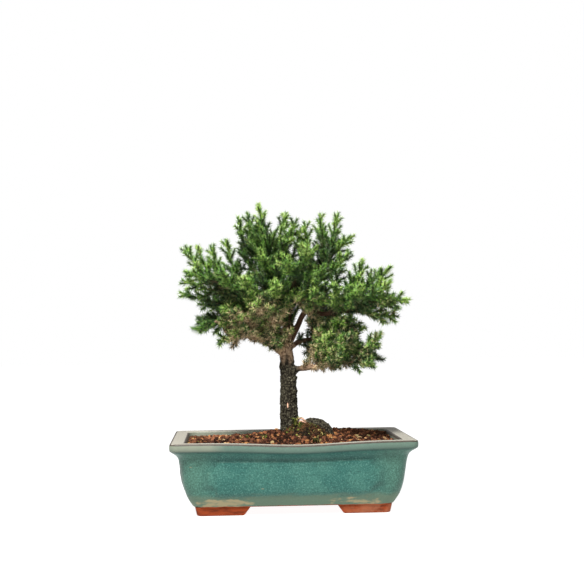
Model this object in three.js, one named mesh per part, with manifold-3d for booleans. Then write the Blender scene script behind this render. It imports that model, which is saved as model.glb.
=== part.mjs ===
// A Japanese cedar bonsai: a small tree with a dark trunk and a spreading crown of awl-needled sprays,
// planted in a glazed rectangular pot on four bare clay feet.
//
// Millimetres, +Z up. The origin is on the table, under the middle of the pot. +X runs along the pot's
// length, to the viewer's right, and -Y faces the viewer.
import * as THREE from "three";
import { mergeVertices } from "three/addons/utils/BufferGeometryUtils.js";
import Module from "manifold-3d";

const { degToRad, lerp, clamp, smoothstep } = THREE.MathUtils;

// Pot
const POT_HALF_LENGTH = 125;
const POT_HALF_DEPTH = 90;
const POT_HEIGHT = 75;
const RIM_WIDTH = 15.3;
const RIM_BAND = 8;
const FLOOR_UNDER = 9; // height of the pot's underside above the table
const FLOOR_TOP = 16;
const FIT_GAP = 0.3; // between pieces that touch on the real thing
const DRAIN_X = 48;
const DRAIN_RADIUS = 9;

// The outer wall as heights and insets from the rim's edge: a bowl below, a cove under the rim
const OUTER_WALL = [
  [FLOOR_UNDER, 23.7],
  [13, 20.4],
  [20, 16.6],
  [31, 13.2],
  [43, 11.2],
  [54, 9.6],
  [60, 7.9],
  [64, 4.6],
  [POT_HEIGHT - RIM_BAND, 1.4],
  [POT_HEIGHT - RIM_BAND + 1.8, 0],
  [POT_HEIGHT - 1.6, 0],
  [POT_HEIGHT, 1.5],
];
// The inner wall in the same way, from the floor up to past the rim
const INNER_WALL = [
  [FLOOR_TOP, 33],
  [20, 28.5],
  [28, 23.6],
  [42, 19.9],
  [60, 17.6],
  [POT_HEIGHT - 1, RIM_WIDTH + 0.6],
  [POT_HEIGHT + 12, RIM_WIDTH + 0.2],
];
const RIM_CORNER = 7;
const BELLY_CORNER = 13;
const HOLLOW_CORNER = 10;

// The rim's front sags a little in its middle
const SAG_DEPTH = 3.3;
const SAG_MIDDLE = 8;
const SAG_REACH = 48;
const SAG_POINTS = [-50, SAG_MIDDLE, 60];

// Raised panels with notched corners on the four walls
const PANEL_RISE = 1.3;
const PANEL_LOW = 21.5;
const PANEL_HIGH = 56;
const PANEL_NOTCH = 10;
const PANEL_HALF_FRONT = 88;
const PANEL_HALF_SIDE = 54;

// Feet: their outer corner under the floor, how far each one runs back along two walls, and its slant
const FOOT_OUT = { x: 100.8, y: 65.8 };
const FOOT_RUN = { x: 56.5, y: 32 };
const FOOT_SLANT = 6.5;
const FOOT_TAPER = 2.2;
const FOOT_CHAMFER = 5;

// Drainage screens over the two holes
const SCREEN_SIDE = 26;
const SCREEN_THICK = 0.9;
const SCREEN_HOLES = 3;
const SCREEN_BAR = 2.4;

// Soil surface
const SOIL_LEVEL = 70;
const MOUND_RISE = 11.5;
const MOUND_REACH = { x: 52, y: 44 };
const GRAIN_RELIEF = 2.1;
const SOIL_CELLS = { x: 18, y: 12 };

// Moss cushion beside the trunk
const MOSS_CENTRE = { x: 16, y: -12 };
const MOSS_REACH = { x: 24, y: 18 };
const MOSS_RISE = 9.5;
const MOSS_CELLS = 8;

// Tree wood: the points along each limb, and its radii from root to end
const LIMBS = {
  trunk: {
    points: [
      [0, 0, 52], [0, 0, 70], [-0.5, 0, 84], [-1, 0, 100], [-1, 0, 117], [-1, 0, 134], [-2, 0, 150],
      [-3, 0, 164], [-2, 1, 180], [0, 4, 196], [-8, 6, 222], [-16, 3, 252], [-24, -1, 282],
    ],
    radii: [9, 9.7, 9.8, 9.6, 9.1, 8, 6.4, 5, 3.8, 3, 2.2, 1.6],
  },
  low_right: {
    points: [[1, 0, 144], [10, -7, 146], [23, -15, 148], [37, -24, 150], [57, -33, 153], [70, -38, 157]],
    radii: [4.4, 1.8],
  },
  back_right: {
    points: [[0, 0, 168], [13, 13, 175], [33, 28, 178], [57, 43, 183]],
    radii: [3.8, 1.7],
  },
  high_right: {
    points: [
      [-2, 0, 168], [9, 3, 190], [19, 1, 207], [36, -10, 204], [51, -21, 205], [65, -29, 211],
      [80, -34, 218],
    ],
    radii: [4.8, 1.7],
  },
  top_right: {
    points: [[19, 1, 206], [29, 13, 228], [37, 22, 252], [44, 26, 272]],
    radii: [3, 1.6],
  },
  low_left: {
    points: [[-3, 0, 160], [-23, -7, 174], [-44, -16, 182], [-61, -23, 188], [-77, -26, 197]],
    radii: [5.4, 1.7],
  },
  back_left: {
    points: [[-3, 0, 165], [-17, 15, 188], [-38, 30, 208], [-60, 43, 226], [-77, 50, 242]],
    radii: [4, 1.6],
  },
  front_left: {
    points: [[-3, 0, 163], [-17, -13, 190], [-35, -28, 211], [-56, -39, 228], [-79, -42, 242]],
    radii: [4.2, 1.6],
  },
  front: {
    points: [[-4, 5, 208], [1, -22, 227], [8, -44, 243], [14, -55, 255]],
    radii: [2.6, 1.5],
  },
  back: {
    points: [[-3, 5, 205], [5, 26, 224], [13, 43, 240], [18, 53, 254]],
    radii: [2.6, 1.5],
  },
};
const TRUNK_MESH = { sides: 9, steps: 18, roughness: 0.16 };
const LIMB_MESH = { sides: 5, steps: 5, roughness: 0.08 };
const ROOT_MESH = { sides: 6, roughness: 0.1 };
const TWIG_MESH = { sides: 3, steps: 2 };
const TWIG_RADII = [1.5, 1.25];
const SOCKET_GAP = 0.5; // the holes in soil and moss are this much wider than the wood in them

// Roots: one arches out of the soil on the right, and the others spread under it.
const ROOTS = {
  arched: {
    points: [[0, 0, 76], [12, 1, 81], [22, 1, 85.5], [29, 1, 86], [36, 0, 81], [44, -2, 67]],
    radii: [8, 7.2],
  },
  left: { points: [[0, 0, 66], [-22, 6, 62], [-45, 14, 50]], radii: [6, 2.4] },
  front: { points: [[0, 0, 64], [-10, -20, 57], [-18, -40, 44]], radii: [5.5, 2.2] },
  back: { points: [[0, 0, 66], [6, 20, 60], [20, 42, 48]], radii: [5.5, 2.2] },
};

// Sprays on each limb: the share of its length that the twig leaves from, the spray's foot, and its tip
const SPRAYS = {
  trunk: [
    [1, [-26, -1, 286], [-30, -2, 323]],
    [0.89, [-38, 10, 284], [-43, 14, 315]],
    [0.77, [-51, 15, 277], [-53, 11, 310]],
    [0.92, [-9, 17, 285], [0, 22, 315]],
    [0.85, [-5, -10, 275], [10, -15, 305]],
    [0.8, [-24, -29, 251], [-31, -58, 270]],
    [0.67, [-18, -29, 227], [-15, -65, 236]],
  ],
  top_right: [
    [0.85, [39, 34, 286], [38, 40, 315]],
    [1, [49, 24, 281], [57, 19, 314]],
    [0.6, [20, 3, 271], [18, -3, 303]],
    [0.8, [53, 13, 271], [68, 6, 288]],
    [0.5, [52, -1, 253], [67, -9, 270]],
  ],
  high_right: [
    [0.8, [68, -28, 233], [78, -32, 259]],
    [0.92, [82, -16, 233], [99, -7, 251]],
    [1, [91, -35, 232], [104, -37, 252]],
    [0.88, [89, -51, 225], [102, -67, 235]],
    [1, [95, -49, 214], [121, -62, 217]],
    [0.82, [91, -11, 214], [115, 4, 225]],
    [0.75, [86, -34, 203], [112, -40, 200]],
    [0.6, [50, -43, 218], [45, -72, 233]],
    [0.75, [63, -51, 219], [69, -82, 231]],
    [0.38, [31, -36, 218], [25, -67, 228]],
  ],
  back_right: [
    [1, [60, 45, 186], [73, 54, 203]],
    [0.85, [48, 48, 198], [57, 71, 219]],
  ],
  low_right: [
    [1, [76, -40, 165], [93, -45, 180]],
    [0.92, [75, -28, 157], [94, -19, 157]],
    [0.85, [66, -43, 153], [84, -54, 151]],
    [0.7, [56, -43, 164], [62, -59, 184]],
    [0.35, [36, -18, 162], [42, -14, 190]],
    [0.8, [72, -18, 167], [95, -1, 168]],
  ],
  front: [
    [1, [15, -56, 257], [16, -81, 271]],
    [0.75, [4, -54, 247], [-8, -80, 262]],
    [0.55, [19, -45, 237], [33, -74, 248]],
  ],
  back: [
    [1, [19, 57, 261], [21, 79, 285]],
    [0.72, [3, 50, 252], [-12, 71, 273]],
    [0.6, [33, 46, 247], [53, 72, 265]],
  ],
  back_left: [
    [0.8, [-57, 41, 263], [-66, 47, 288]],
    [1, [-75, 50, 257], [-83, 50, 282]],
    [0.7, [-71, 36, 217], [-97, 39, 217]],
    [0.55, [-38, 46, 232], [-41, 74, 253]],
    [0.9, [-73, 56, 235], [-91, 75, 250]],
    [0.35, [-25, 39, 212], [-33, 72, 219]],
  ],
  front_left: [
    [0.85, [-89, -33, 251], [-97, -31, 276]],
    [1, [-95, -45, 248], [-108, -40, 276]],
    [0.92, [-87, -52, 240], [-108, -56, 248]],
    [0.75, [-87, -36, 230], [-112, -32, 241]],
    [0.55, [-86, -20, 218], [-115, -10, 229]],
    [0.5, [-44, -44, 229], [-48, -76, 242]],
    [0.7, [-64, -53, 235], [-72, -78, 251]],
    [0.3, [-35, -32, 207], [-38, -64, 214]],
  ],
  low_left: [
    [1, [-80, -26, 197], [-98, -29, 189]],
    [0.8, [-72, -8, 203], [-95, 5, 202]],
    [0.6, [-57, -27, 177], [-76, -33, 171]],
    [0.45, [-48, -34, 196], [-59, -61, 208]],
  ],
};

// Shoots: each spray is a main shoot with shorter side shoots, set with needles all round in bands of six.
const FOOT_PULL = 0.2;
const SHOOT_RADIUS = 1.2;
const SHOOT_BAND = 9;
const SHOOT_SAG = 0.05; // of its length
const BUD_LENGTH = 3.5;
const NEEDLE_LENGTH = 6.6;
const NEEDLE_LEAN = [degToRad(56), degToRad(28)]; // from the shoot's line, at its foot and at its tip
const SIDE_SPACING = 13; // along the main shoot
const SIDE_REACH = [0.14, 0.6]; // shares of the main shoot's length between which they leave it
const SIDE_LENGTH = 16;
const SIDE_LEAN = degToRad(44);
const SIDE_CLEAR = 3.6;
const CORE_CLEAR = 0.8; // between a needle's line and another core's surface
const NEEDLE_CLEAR = 1.3; // between the lines of needles on two shoots
const GOLDEN_ANGLE = Math.PI * (3 - Math.sqrt(5));

const FINISH = {
  glaze: new THREE.MeshStandardMaterial({ color: 0x3f7f73, roughness: 0.25, metalness: 0 }),
  soil: new THREE.MeshStandardMaterial({ color: 0x6d3f2c, roughness: 0.95, metalness: 0 }),
  moss: new THREE.MeshStandardMaterial({ color: 0x4b4a22, roughness: 0.95, metalness: 0 }),
  bark: new THREE.MeshStandardMaterial({ color: 0x4a4038, roughness: 0.9, metalness: 0 }),
  needles: new THREE.MeshStandardMaterial({ color: 0x3f7a2c, roughness: 0.6, metalness: 0 }),
  screen: new THREE.MeshStandardMaterial({ color: 0x2c3a30, roughness: 0.6, metalness: 0 }),
};

const wasm = await Module();
wasm.setup();
const { Manifold } = wasm;

// Solids and meshes

function solidOf(geometry) {
  const bare = geometry.clone();
  bare.deleteAttribute("normal");
  bare.deleteAttribute("uv");
  const merged = mergeVertices(bare, 1e-4);
  return new Manifold(
    new wasm.Mesh({
      numProp: 3,
      vertProperties: merged.attributes.position.array,
      triVerts: new Uint32Array(merged.index.array),
    }),
  );
}

function solidFromFaces(points, faces) {
  const numbers = points.flatMap((p) => [p.x, p.y, p.z]);
  const geometry = new THREE.BufferGeometry();
  geometry.setAttribute("position", new THREE.Float32BufferAttribute(numbers, 3));
  geometry.setIndex(faces.flat());
  return solidOf(geometry);
}

function union(solids) {
  return solids.reduce((joined, next) => joined.add(next));
}

function largestPiece(solid) {
  return solid.decompose().sort((a, b) => b.volume() - a.volume())[0];
}

function named(solid, name, material) {
  const made = solid.getMesh();
  const positions = new Float32Array(made.numVert * 3);
  for (let i = 0; i < made.numVert; i++) {
    positions.set(made.vertProperties.subarray(i * made.numProp, i * made.numProp + 3), i * 3);
  }
  const geometry = new THREE.BufferGeometry();
  geometry.setAttribute("position", new THREE.BufferAttribute(positions, 3));
  geometry.setIndex(new THREE.BufferAttribute(made.triVerts, 1));
  const mesh = new THREE.Mesh(geometry, material);
  mesh.name = name;
  return mesh;
}

function box(x0, x1, y0, y1, z0, z1) {
  const made = new THREE.BoxGeometry(x1 - x0, y1 - y0, z1 - z0);
  made.translate((x0 + x1) / 2, (y0 + y1) / 2, (z0 + z1) / 2);
  return solidOf(made);
}

// Closed surface through rings of equal counts, each counter-clockwise seen from the last ring's end
function loft(rings) {
  const count = rings[0].length;
  const faces = [];
  for (let r = 0; r + 1 < rings.length; r++) {
    for (let i = 0; i < count; i++) {
      const a = r * count + i;
      const b = r * count + ((i + 1) % count);
      faces.push([a, b, b + count], [a, b + count, a + count]);
    }
  }
  const top = (rings.length - 1) * count;
  for (let i = 1; i + 1 < count; i++) {
    faces.push([0, i + 1, i], [top, top + i, top + i + 1]);
  }
  return solidFromFaces(rings.flat(), faces);
}

// A repeatable number from 0 to 1 for a pair of whole numbers
function hash(i, j) {
  const wave = Math.sin(i * 127.1 + j * 311.7) * 43758.5453;
  return wave - Math.floor(wave);
}

// Frames at shares of a curve's length, carried along it without twist
function framesAlong(curve, shares) {
  const tangents = shares.map((share) => curve.getTangentAt(share));
  const side = new THREE.Vector3(0, 0, 1).cross(tangents[0]);
  if (side.lengthSq() < 0.01) {
    side.set(1, 0, 0).cross(tangents[0]);
  }
  side.normalize();
  return tangents.map((tangent, k) => {
    if (k > 0) {
      side.applyQuaternion(new THREE.Quaternion().setFromUnitVectors(tangents[k - 1], tangent));
    }
    const up = tangent.clone().cross(side);
    return { point: curve.getPointAt(shares[k]), tangent, side: side.clone(), up };
  });
}

function around(frame, angle, radius) {
  return frame.point
    .clone()
    .addScaledVector(frame.side, Math.cos(angle) * radius)
    .addScaledVector(frame.up, Math.sin(angle) * radius);
}

function blend(values, share) {
  const place = share * (values.length - 1);
  const k = Math.min(Math.floor(place), values.length - 2);
  return lerp(values[k], values[k + 1], place - k);
}

function tube(curve, radii, { sides, steps, roughness = 0 }) {
  const shares = Array.from({ length: steps + 1 }, (_, k) => k / steps);
  const rings = framesAlong(curve, shares).map((frame, k) =>
    Array.from({ length: sides }, (_, i) => {
      const bump = 1 + roughness * (hash(k + 3, i + 7) - 0.5);
      return around(frame, (i / sides) * 2 * Math.PI, blend(radii, shares[k]) * bump);
    }),
  );
  return loft(rings);
}

function curveThrough(points) {
  return new THREE.CatmullRomCurve3(points.map((p) => new THREE.Vector3(...p)), false, "centripetal");
}

// Pot

function sagAt(x, z) {
  return SAG_DEPTH * Math.exp(-(((x - SAG_MIDDLE) / SAG_REACH) ** 2)) * smoothstep(z, 40, 70);
}

// A rectangle with round corners at one height, set in from the rim's edge, with points along its front
function potRing(inset, z, corner) {
  const steps = 4;
  const ring = [];
  for (const [sx, sy, start] of [[1, 1, 0], [-1, 1, 0.5], [-1, -1, 1], [1, -1, 1.5]]) {
    const x = sx * (POT_HALF_LENGTH - inset - corner);
    const y = sy * (POT_HALF_DEPTH - inset - corner);
    for (let k = 0; k < steps; k++) {
      const angle = (start + (0.5 * k) / (steps - 1)) * Math.PI;
      ring.push(new THREE.Vector3(x + corner * Math.cos(angle), y + corner * Math.sin(angle), z));
    }
    if (sx < 0 && sy < 0) {
      ring.push(...SAG_POINTS.map((at) => new THREE.Vector3(at, y - corner, z - sagAt(at, z))));
    }
  }
  return ring;
}

function wallLoft(wall, outwards, cornerAt) {
  return loft(wall.map(([z, inset]) => potRing(inset - outwards, z, cornerAt(z))));
}

function outerCorner(z) {
  const rimFoot = POT_HEIGHT - RIM_BAND;
  return lerp(BELLY_CORNER, RIM_CORNER, smoothstep(z, rimFoot - 6, rimFoot + 1));
}

function hollowLoft(outwards) {
  return wallLoft(INNER_WALL, outwards, () => HOLLOW_CORNER);
}

function panelOutline(half) {
  const outline = new THREE.Shape();
  outline.moveTo(-half + PANEL_NOTCH, PANEL_LOW);
  outline.absarc(half, PANEL_LOW, PANEL_NOTCH, Math.PI, Math.PI / 2, true);
  outline.absarc(half, PANEL_HIGH, PANEL_NOTCH, 1.5 * Math.PI, Math.PI, true);
  outline.absarc(-half, PANEL_HIGH, PANEL_NOTCH, 0, -Math.PI / 2, true);
  outline.absarc(-half, PANEL_LOW, PANEL_NOTCH, Math.PI / 2, 0, true);
  return outline;
}

function panelPrism(half, reach, turn) {
  const settings = { depth: 2 * reach, bevelEnabled: false, curveSegments: 3 };
  const prism = new THREE.ExtrudeGeometry(panelOutline(half), settings);
  prism.translate(0, 0, -reach).rotateX(Math.PI / 2).rotateZ(turn);
  return solidOf(prism);
}

function makeFoot(sx, sy) {
  const level = (z, slant, taper) => {
    const x0 = FOOT_OUT.x - FOOT_RUN.x + slant;
    const y0 = FOOT_OUT.y - FOOT_RUN.y + slant;
    const x1 = FOOT_OUT.x - taper;
    const y1 = FOOT_OUT.y - taper;
    const corners = [[x0, y0], [x1, y0], [x1, y1 - FOOT_CHAMFER], [x1 - FOOT_CHAMFER, y1], [x0, y1]];
    const ring = corners.map(([x, y]) => new THREE.Vector3(sx * x, sy * y, z));
    return sx * sy < 0 ? ring.reverse() : ring;
  };
  const sole = level(0, FOOT_SLANT, FOOT_TAPER);
  return loft([sole, level(FLOOR_UNDER, 0, 0.4), level(FLOOR_UNDER + 1.5, 0, 3)]);
}

function drainHole(x) {
  const hole = new THREE.CylinderGeometry(DRAIN_RADIUS, DRAIN_RADIUS, 3 * (FLOOR_TOP - FLOOR_UNDER), 16);
  hole.rotateX(Math.PI / 2).translate(x, 0, (FLOOR_UNDER + FLOOR_TOP) / 2);
  return solidOf(hole);
}

function makePot() {
  const body = wallLoft(OUTER_WALL, 0, outerCorner);
  const prisms = union([
    panelPrism(PANEL_HALF_FRONT, POT_HALF_DEPTH + 10, 0),
    panelPrism(PANEL_HALF_SIDE, POT_HALF_LENGTH + 10, Math.PI / 2),
  ]);
  const panels = wallLoft(OUTER_WALL, PANEL_RISE, outerCorner).intersect(prisms);
  const feet = [[1, 1], [-1, 1], [-1, -1], [1, -1]].map(([sx, sy]) => makeFoot(sx, sy));
  return union([body, panels, ...feet])
    .subtract(hollowLoft(0))
    .subtract(drainHole(-DRAIN_X))
    .subtract(drainHole(DRAIN_X));
}

// Drainage screens

function makeScreen(x) {
  const half = SCREEN_SIDE / 2;
  const low = FLOOR_TOP + FIT_GAP;
  const pitch = (SCREEN_SIDE - SCREEN_BAR) / SCREEN_HOLES;
  const side = pitch - SCREEN_BAR;
  let plate = box(x - half, x + half, -half, half, low, low + SCREEN_THICK);
  for (let i = 0; i < SCREEN_HOLES; i++) {
    for (let j = 0; j < SCREEN_HOLES; j++) {
      const left = x - half + SCREEN_BAR + i * pitch;
      const near = -half + SCREEN_BAR + j * pitch;
      plate = plate.subtract(box(left, left + side, near, near + side, low - 1, low + SCREEN_THICK + 1));
    }
  }
  return plate;
}

function screenPocket(x) {
  const half = SCREEN_SIDE / 2 + FIT_GAP;
  return box(x - half, x + half, -half, half, 0, FLOOR_TOP + SCREEN_THICK + 2 * FIT_GAP);
}

// Soil and moss

function soilHeight(x, y) {
  return SOIL_LEVEL + MOUND_RISE * Math.exp(-((x / MOUND_REACH.x) ** 2) - (y / MOUND_REACH.y) ** 2);
}

// A block from the table up to a height given over a grid
function heightBlock([x0, x1], [y0, y1], nx, ny, heightAt) {
  const points = [];
  const faces = [];
  for (let i = 0; i <= nx; i++) {
    for (let j = 0; j <= ny; j++) {
      const x = lerp(x0, x1, i / nx);
      const y = lerp(y0, y1, j / ny);
      points.push(new THREE.Vector3(x, y, 0), new THREE.Vector3(x, y, heightAt(x, y, i, j)));
    }
  }
  const low = (i, j) => 2 * (i * (ny + 1) + j);
  const high = (i, j) => low(i, j) + 1;
  for (let i = 0; i < nx; i++) {
    for (let j = 0; j < ny; j++) {
      const corners = [[i, j], [i + 1, j], [i + 1, j + 1], [i, j + 1]];
      const [a, b, c, d] = corners.map((at) => high(...at));
      faces.push([a, b, c], [a, c, d]);
      const [e, f, g, h] = corners.map((at) => low(...at));
      faces.push([e, g, f], [e, h, g]);
    }
  }
  const wall = (from, to) => {
    faces.push([low(...from), low(...to), high(...to)], [low(...from), high(...to), high(...from)]);
  };
  for (let i = 0; i < nx; i++) {
    wall([i, 0], [i + 1, 0]);
    wall([i + 1, ny], [i, ny]);
  }
  for (let j = 0; j < ny; j++) {
    wall([nx, j], [nx, j + 1]);
    wall([0, j + 1], [0, j]);
  }
  return solidFromFaces(points, faces);
}

function makeGround() {
  const halfX = POT_HALF_LENGTH - RIM_WIDTH;
  const halfY = POT_HALF_DEPTH - RIM_WIDTH;
  const { x: nx, y: ny } = SOIL_CELLS;
  const relief = (x, y, i, j) => soilHeight(x, y) + GRAIN_RELIEF * (hash(i, j) - 0.5);
  return heightBlock([-halfX, halfX], [-halfY, halfY], nx, ny, relief);
}

function makeSoil(ground, socket) {
  const [x, y] = [POT_HALF_LENGTH, POT_HALF_DEPTH];
  const aboveFloor = box(-x, x, -y, y, FLOOR_TOP + FIT_GAP, 2 * POT_HEIGHT);
  const filling = ground.intersect(hollowLoft(-FIT_GAP)).intersect(aboveFloor);
  return largestPiece(
    filling.subtract(screenPocket(-DRAIN_X)).subtract(screenPocket(DRAIN_X)).subtract(socket),
  );
}

function makeMoss(ground, socket) {
  const { x: cx, y: cy } = MOSS_CENTRE;
  const { x: rx, y: ry } = MOSS_REACH;
  const cushion = (x, y, i, j) => {
    const away = ((x - cx) / rx) ** 2 + ((y - cy) / ry) ** 2;
    return soilHeight(x, y) + MOSS_RISE * (1 - away) + GRAIN_RELIEF * (hash(i + 40, j + 9) - 0.8);
  };
  const dome = heightBlock([cx - rx, cx + rx], [cy - ry, cy + ry], MOSS_CELLS, MOSS_CELLS, cushion);
  const lifted = ground.translate([0, 0, FIT_GAP]);
  return largestPiece(dome.subtract(lifted).subtract(socket));
}

// Tree wood

const limbCurves = Object.fromEntries(
  Object.entries(LIMBS).map(([name, limb]) => [name, curveThrough(limb.points)]),
);

function trunkTube(extra) {
  return tube(limbCurves.trunk, LIMBS.trunk.radii.map((r) => r + extra), TRUNK_MESH);
}

function rootTubes(extra) {
  return Object.values(ROOTS).map(({ points, radii }) =>
    tube(curveThrough(points), radii.map((r) => r + extra), { ...ROOT_MESH, steps: points.length }),
  );
}

function makeSocket() {
  return union([trunkTube(SOCKET_GAP), ...rootTubes(SOCKET_GAP)]);
}

function makeWood(sprays) {
  const sideLimbs = Object.keys(LIMBS).filter((name) => name !== "trunk");
  const limbs = sideLimbs.map((name) => tube(limbCurves[name], LIMBS[name].radii, LIMB_MESH));
  const twigs = sprays.map((spray) => tube(spray.twig, TWIG_RADII, TWIG_MESH));
  return union([trunkTube(0), ...rootTubes(0), ...limbs, ...twigs]);
}

// Sprays

// Straight stretches of a core, for measuring how near something passes
function stretchesOf(curve, count, radii) {
  const points = curve.getSpacedPoints(count);
  const stretch = (k) => ({ start: points[k], end: points[k + 1], radius: blend(radii, k / count), curve });
  return Array.from({ length: count }, (_, k) => stretch(k));
}

function shootCores(curve, count) {
  return stretchesOf(curve, count, [SHOOT_RADIUS, SHOOT_RADIUS]);
}

// Shortest distance between two straight stretches
function distanceBetween(one, other) {
  const u = one.end.clone().sub(one.start);
  const v = other.end.clone().sub(other.start);
  const w = one.start.clone().sub(other.start);
  const uu = u.dot(u);
  const vv = v.dot(v);
  const uv = u.dot(v);
  const cross = uu * vv - uv * uv;
  let s = cross > 1e-9 ? clamp((uv * v.dot(w) - vv * u.dot(w)) / cross, 0, 1) : 0;
  const t = clamp((uv * s + v.dot(w)) / vv, 0, 1);
  s = clamp((uv * t - u.dot(w)) / uu, 0, 1);
  const near = one.start.clone().addScaledVector(u, s);
  return near.distanceTo(other.start.clone().addScaledVector(v, t));
}

// The main shoot sags a little towards its foot, and its twig comes in along the same line.
function planSpray(limb, [share, footPlace, tipPlace]) {
  const root = limbCurves[limb].getPointAt(share);
  const foot = new THREE.Vector3(...footPlace).lerp(root, FOOT_PULL);
  const tip = new THREE.Vector3(...tipPlace);
  const aim = tip.clone().sub(foot);
  const middle = foot.clone().lerp(tip, 0.5);
  middle.z -= SHOOT_SAG * aim.length();
  const heading = middle.clone().sub(foot).normalize();
  const end = tip.clone().addScaledVector(aim.normalize(), -BUD_LENGTH);
  const start = foot.clone().addScaledVector(heading, FIT_GAP);
  const bend = foot.clone().addScaledVector(heading, -0.45 * root.distanceTo(foot));
  return {
    limb,
    aim,
    main: new THREE.QuadraticBezierCurve3(start, middle, end),
    twig: new THREE.QuadraticBezierCurve3(root, bend, foot),
  };
}

function sideShootCurve(spray, share, turn) {
  const { aim, main } = spray;
  const across = new THREE.Vector3(-aim.y, aim.x, 0);
  if (across.lengthSq() < 0.05) {
    across.set(1, 0, 0).addScaledVector(aim, -aim.x);
  }
  across.normalize().applyAxisAngle(aim, turn).multiplyScalar(Math.sin(SIDE_LEAN));
  const heading = across.addScaledVector(aim, Math.cos(SIDE_LEAN));
  const root = main.getPointAt(share);
  const middle = root.clone().addScaledVector(heading, 0.5 * SIDE_LENGTH);
  const end = root.clone().addScaledVector(heading, SIDE_LENGTH).addScaledVector(aim, 0.12 * SIDE_LENGTH);
  return new THREE.QuadraticBezierCurve3(root, middle, end);
}

// Side shoots turn round the main one by the golden angle, and turn on where another core is near.
function addSideShoots(sprays, cores) {
  sprays.forEach((spray, index) => {
    const others = cores.filter((core) => core.curve !== spray.main);
    const clears = (piece, core) => distanceBetween(piece, core) > core.radius + SIDE_CLEAR;
    const isClear = (piece) => others.every((core) => clears(piece, core));
    let turn = index;
    const trySide = (share) => {
      for (let attempt = 0; attempt < 12; attempt++) {
        turn += GOLDEN_ANGLE;
        const curve = sideShootCurve(spray, share, turn);
        const pieces = shootCores(curve, 3);
        if (pieces.every(isClear)) {
          cores.push(...pieces);
          return [curve];
        }
      }
      return [];
    };
    const count = Math.max(2, Math.round(spray.main.getLength() / SIDE_SPACING));
    const shares = Array.from({ length: count }, (_, k) => lerp(...SIDE_REACH, k / (count - 1)));
    spray.sides = shares.flatMap(trySide);
  });
}

// The wood that a needle has to miss
function woodCores(sprays) {
  const limbs = Object.keys(LIMBS).flatMap((name) => stretchesOf(limbCurves[name], 12, LIMBS[name].radii));
  const twigs = sprays.flatMap((spray) => stretchesOf(spray.twig, 4, TWIG_RADII));
  return [...limbs, ...twigs];
}

// A needle on one face of a shoot leans forward, and more so towards the shoot's tip.
function needleOn(corners, frame, share, curve) {
  const start = corners.reduce((sum, corner) => sum.add(corner), new THREE.Vector3()).divideScalar(3);
  const outward = start.clone().sub(frame.point);
  outward.addScaledVector(frame.tangent, -outward.dot(frame.tangent)).normalize();
  const lean = lerp(...NEEDLE_LEAN, share ** 1.6);
  const length = NEEDLE_LENGTH * lerp(0.85, 1, Math.sin(share * Math.PI));
  const end = start
    .clone()
    .addScaledVector(outward, length * Math.sin(lean))
    .addScaledVector(frame.tangent, length * Math.cos(lean));
  return { start, end, curve };
}

// A shoot is a pointed three-sided core in bands of six triangles. Each triangle rises to a needle where
// nothing is in the needle's way.
function shootSolid(curve, isFree) {
  const bands = Math.round(curve.getLength() / SHOOT_BAND);
  const shares = Array.from({ length: bands + 1 }, (_, k) => k / bands);
  const frames = framesAlong(curve, shares);
  const last = frames.length - 1;
  const points = frames.flatMap((frame, k) =>
    [0, 1, 2].map((i) =>
      around(frame, ((2 * i + (k % 2)) / 3) * Math.PI, SHOOT_RADIUS * lerp(1, 0.75, shares[k])),
    ),
  );
  const faces = [];
  const raise = (corners, k) => {
    const places = corners.map((corner) => points[corner]);
    const needle = needleOn(places, frames[k], (shares[k] + shares[k + 1]) / 2, curve);
    if (!isFree(needle)) {
      faces.push(corners);
      return;
    }
    const tip = points.push(needle.end) - 1;
    corners.forEach((corner, c) => faces.push([corner, corners[(c + 1) % 3], tip]));
  };
  for (let k = 0; k < last; k++) {
    for (let i = 0; i < 3; i++) {
      const next = (i + 1) % 3;
      const [low, lowNext] = [3 * k + i, 3 * k + next];
      const [high, highNext] = [3 * (k + 1) + i, 3 * (k + 1) + next];
      if (k % 2 === 0) {
        raise([low, lowNext, high], k);
        raise([lowNext, highNext, high], k);
      } else {
        raise([low, highNext, high], k);
        raise([low, lowNext, highNext], k);
      }
    }
  }
  const bud = points.push(frames[last].point.clone().addScaledVector(frames[last].tangent, BUD_LENGTH)) - 1;
  faces.push([0, 2, 1]);
  for (let i = 0; i < 3; i++) {
    faces.push([3 * last + i, 3 * last + ((i + 1) % 3), bud]);
  }
  return solidFromFaces(points, faces);
}

function makeSprays(sprays, cores) {
  const placed = [];
  const misses = (needle, other, room) =>
    other.curve === needle.curve || distanceBetween(needle, other) > room;
  const isFree = (needle) => {
    const isClear =
      cores.every((core) => misses(needle, core, core.radius + CORE_CLEAR)) &&
      placed.every((other) => misses(needle, other, NEEDLE_CLEAR));
    if (isClear) {
      placed.push(needle);
    }
    return isClear;
  };
  return sprays.map((spray) => {
    return union([spray.main, ...spray.sides].map((curve) => shootSolid(curve, isFree)));
  });
}

// Assembly

const sprays = Object.entries(SPRAYS).flatMap(([limb, rows]) => rows.map((row) => planSpray(limb, row)));
const cores = [...woodCores(sprays), ...sprays.flatMap((spray) => shootCores(spray.main, 4))];
addSideShoots(sprays, cores);

const socket = makeSocket();
const ground = makeGround();
const bonsai = new THREE.Group();
bonsai.add(named(makePot(), "pot", FINISH.glaze));
bonsai.add(named(makeScreen(-DRAIN_X), "drain_screen_left", FINISH.screen));
bonsai.add(named(makeScreen(DRAIN_X), "drain_screen_right", FINISH.screen));
bonsai.add(named(makeSoil(ground, socket), "soil", FINISH.soil));
bonsai.add(named(makeMoss(ground, socket), "moss", FINISH.moss));
bonsai.add(named(makeWood(sprays), "tree_wood", FINISH.bark));
makeSprays(sprays, cores).forEach((solid, k) => {
  const number = String(k + 1).padStart(2, "0");
  bonsai.add(named(solid, `spray_${number}_${sprays[k].limb}`, FINISH.needles));
});

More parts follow.
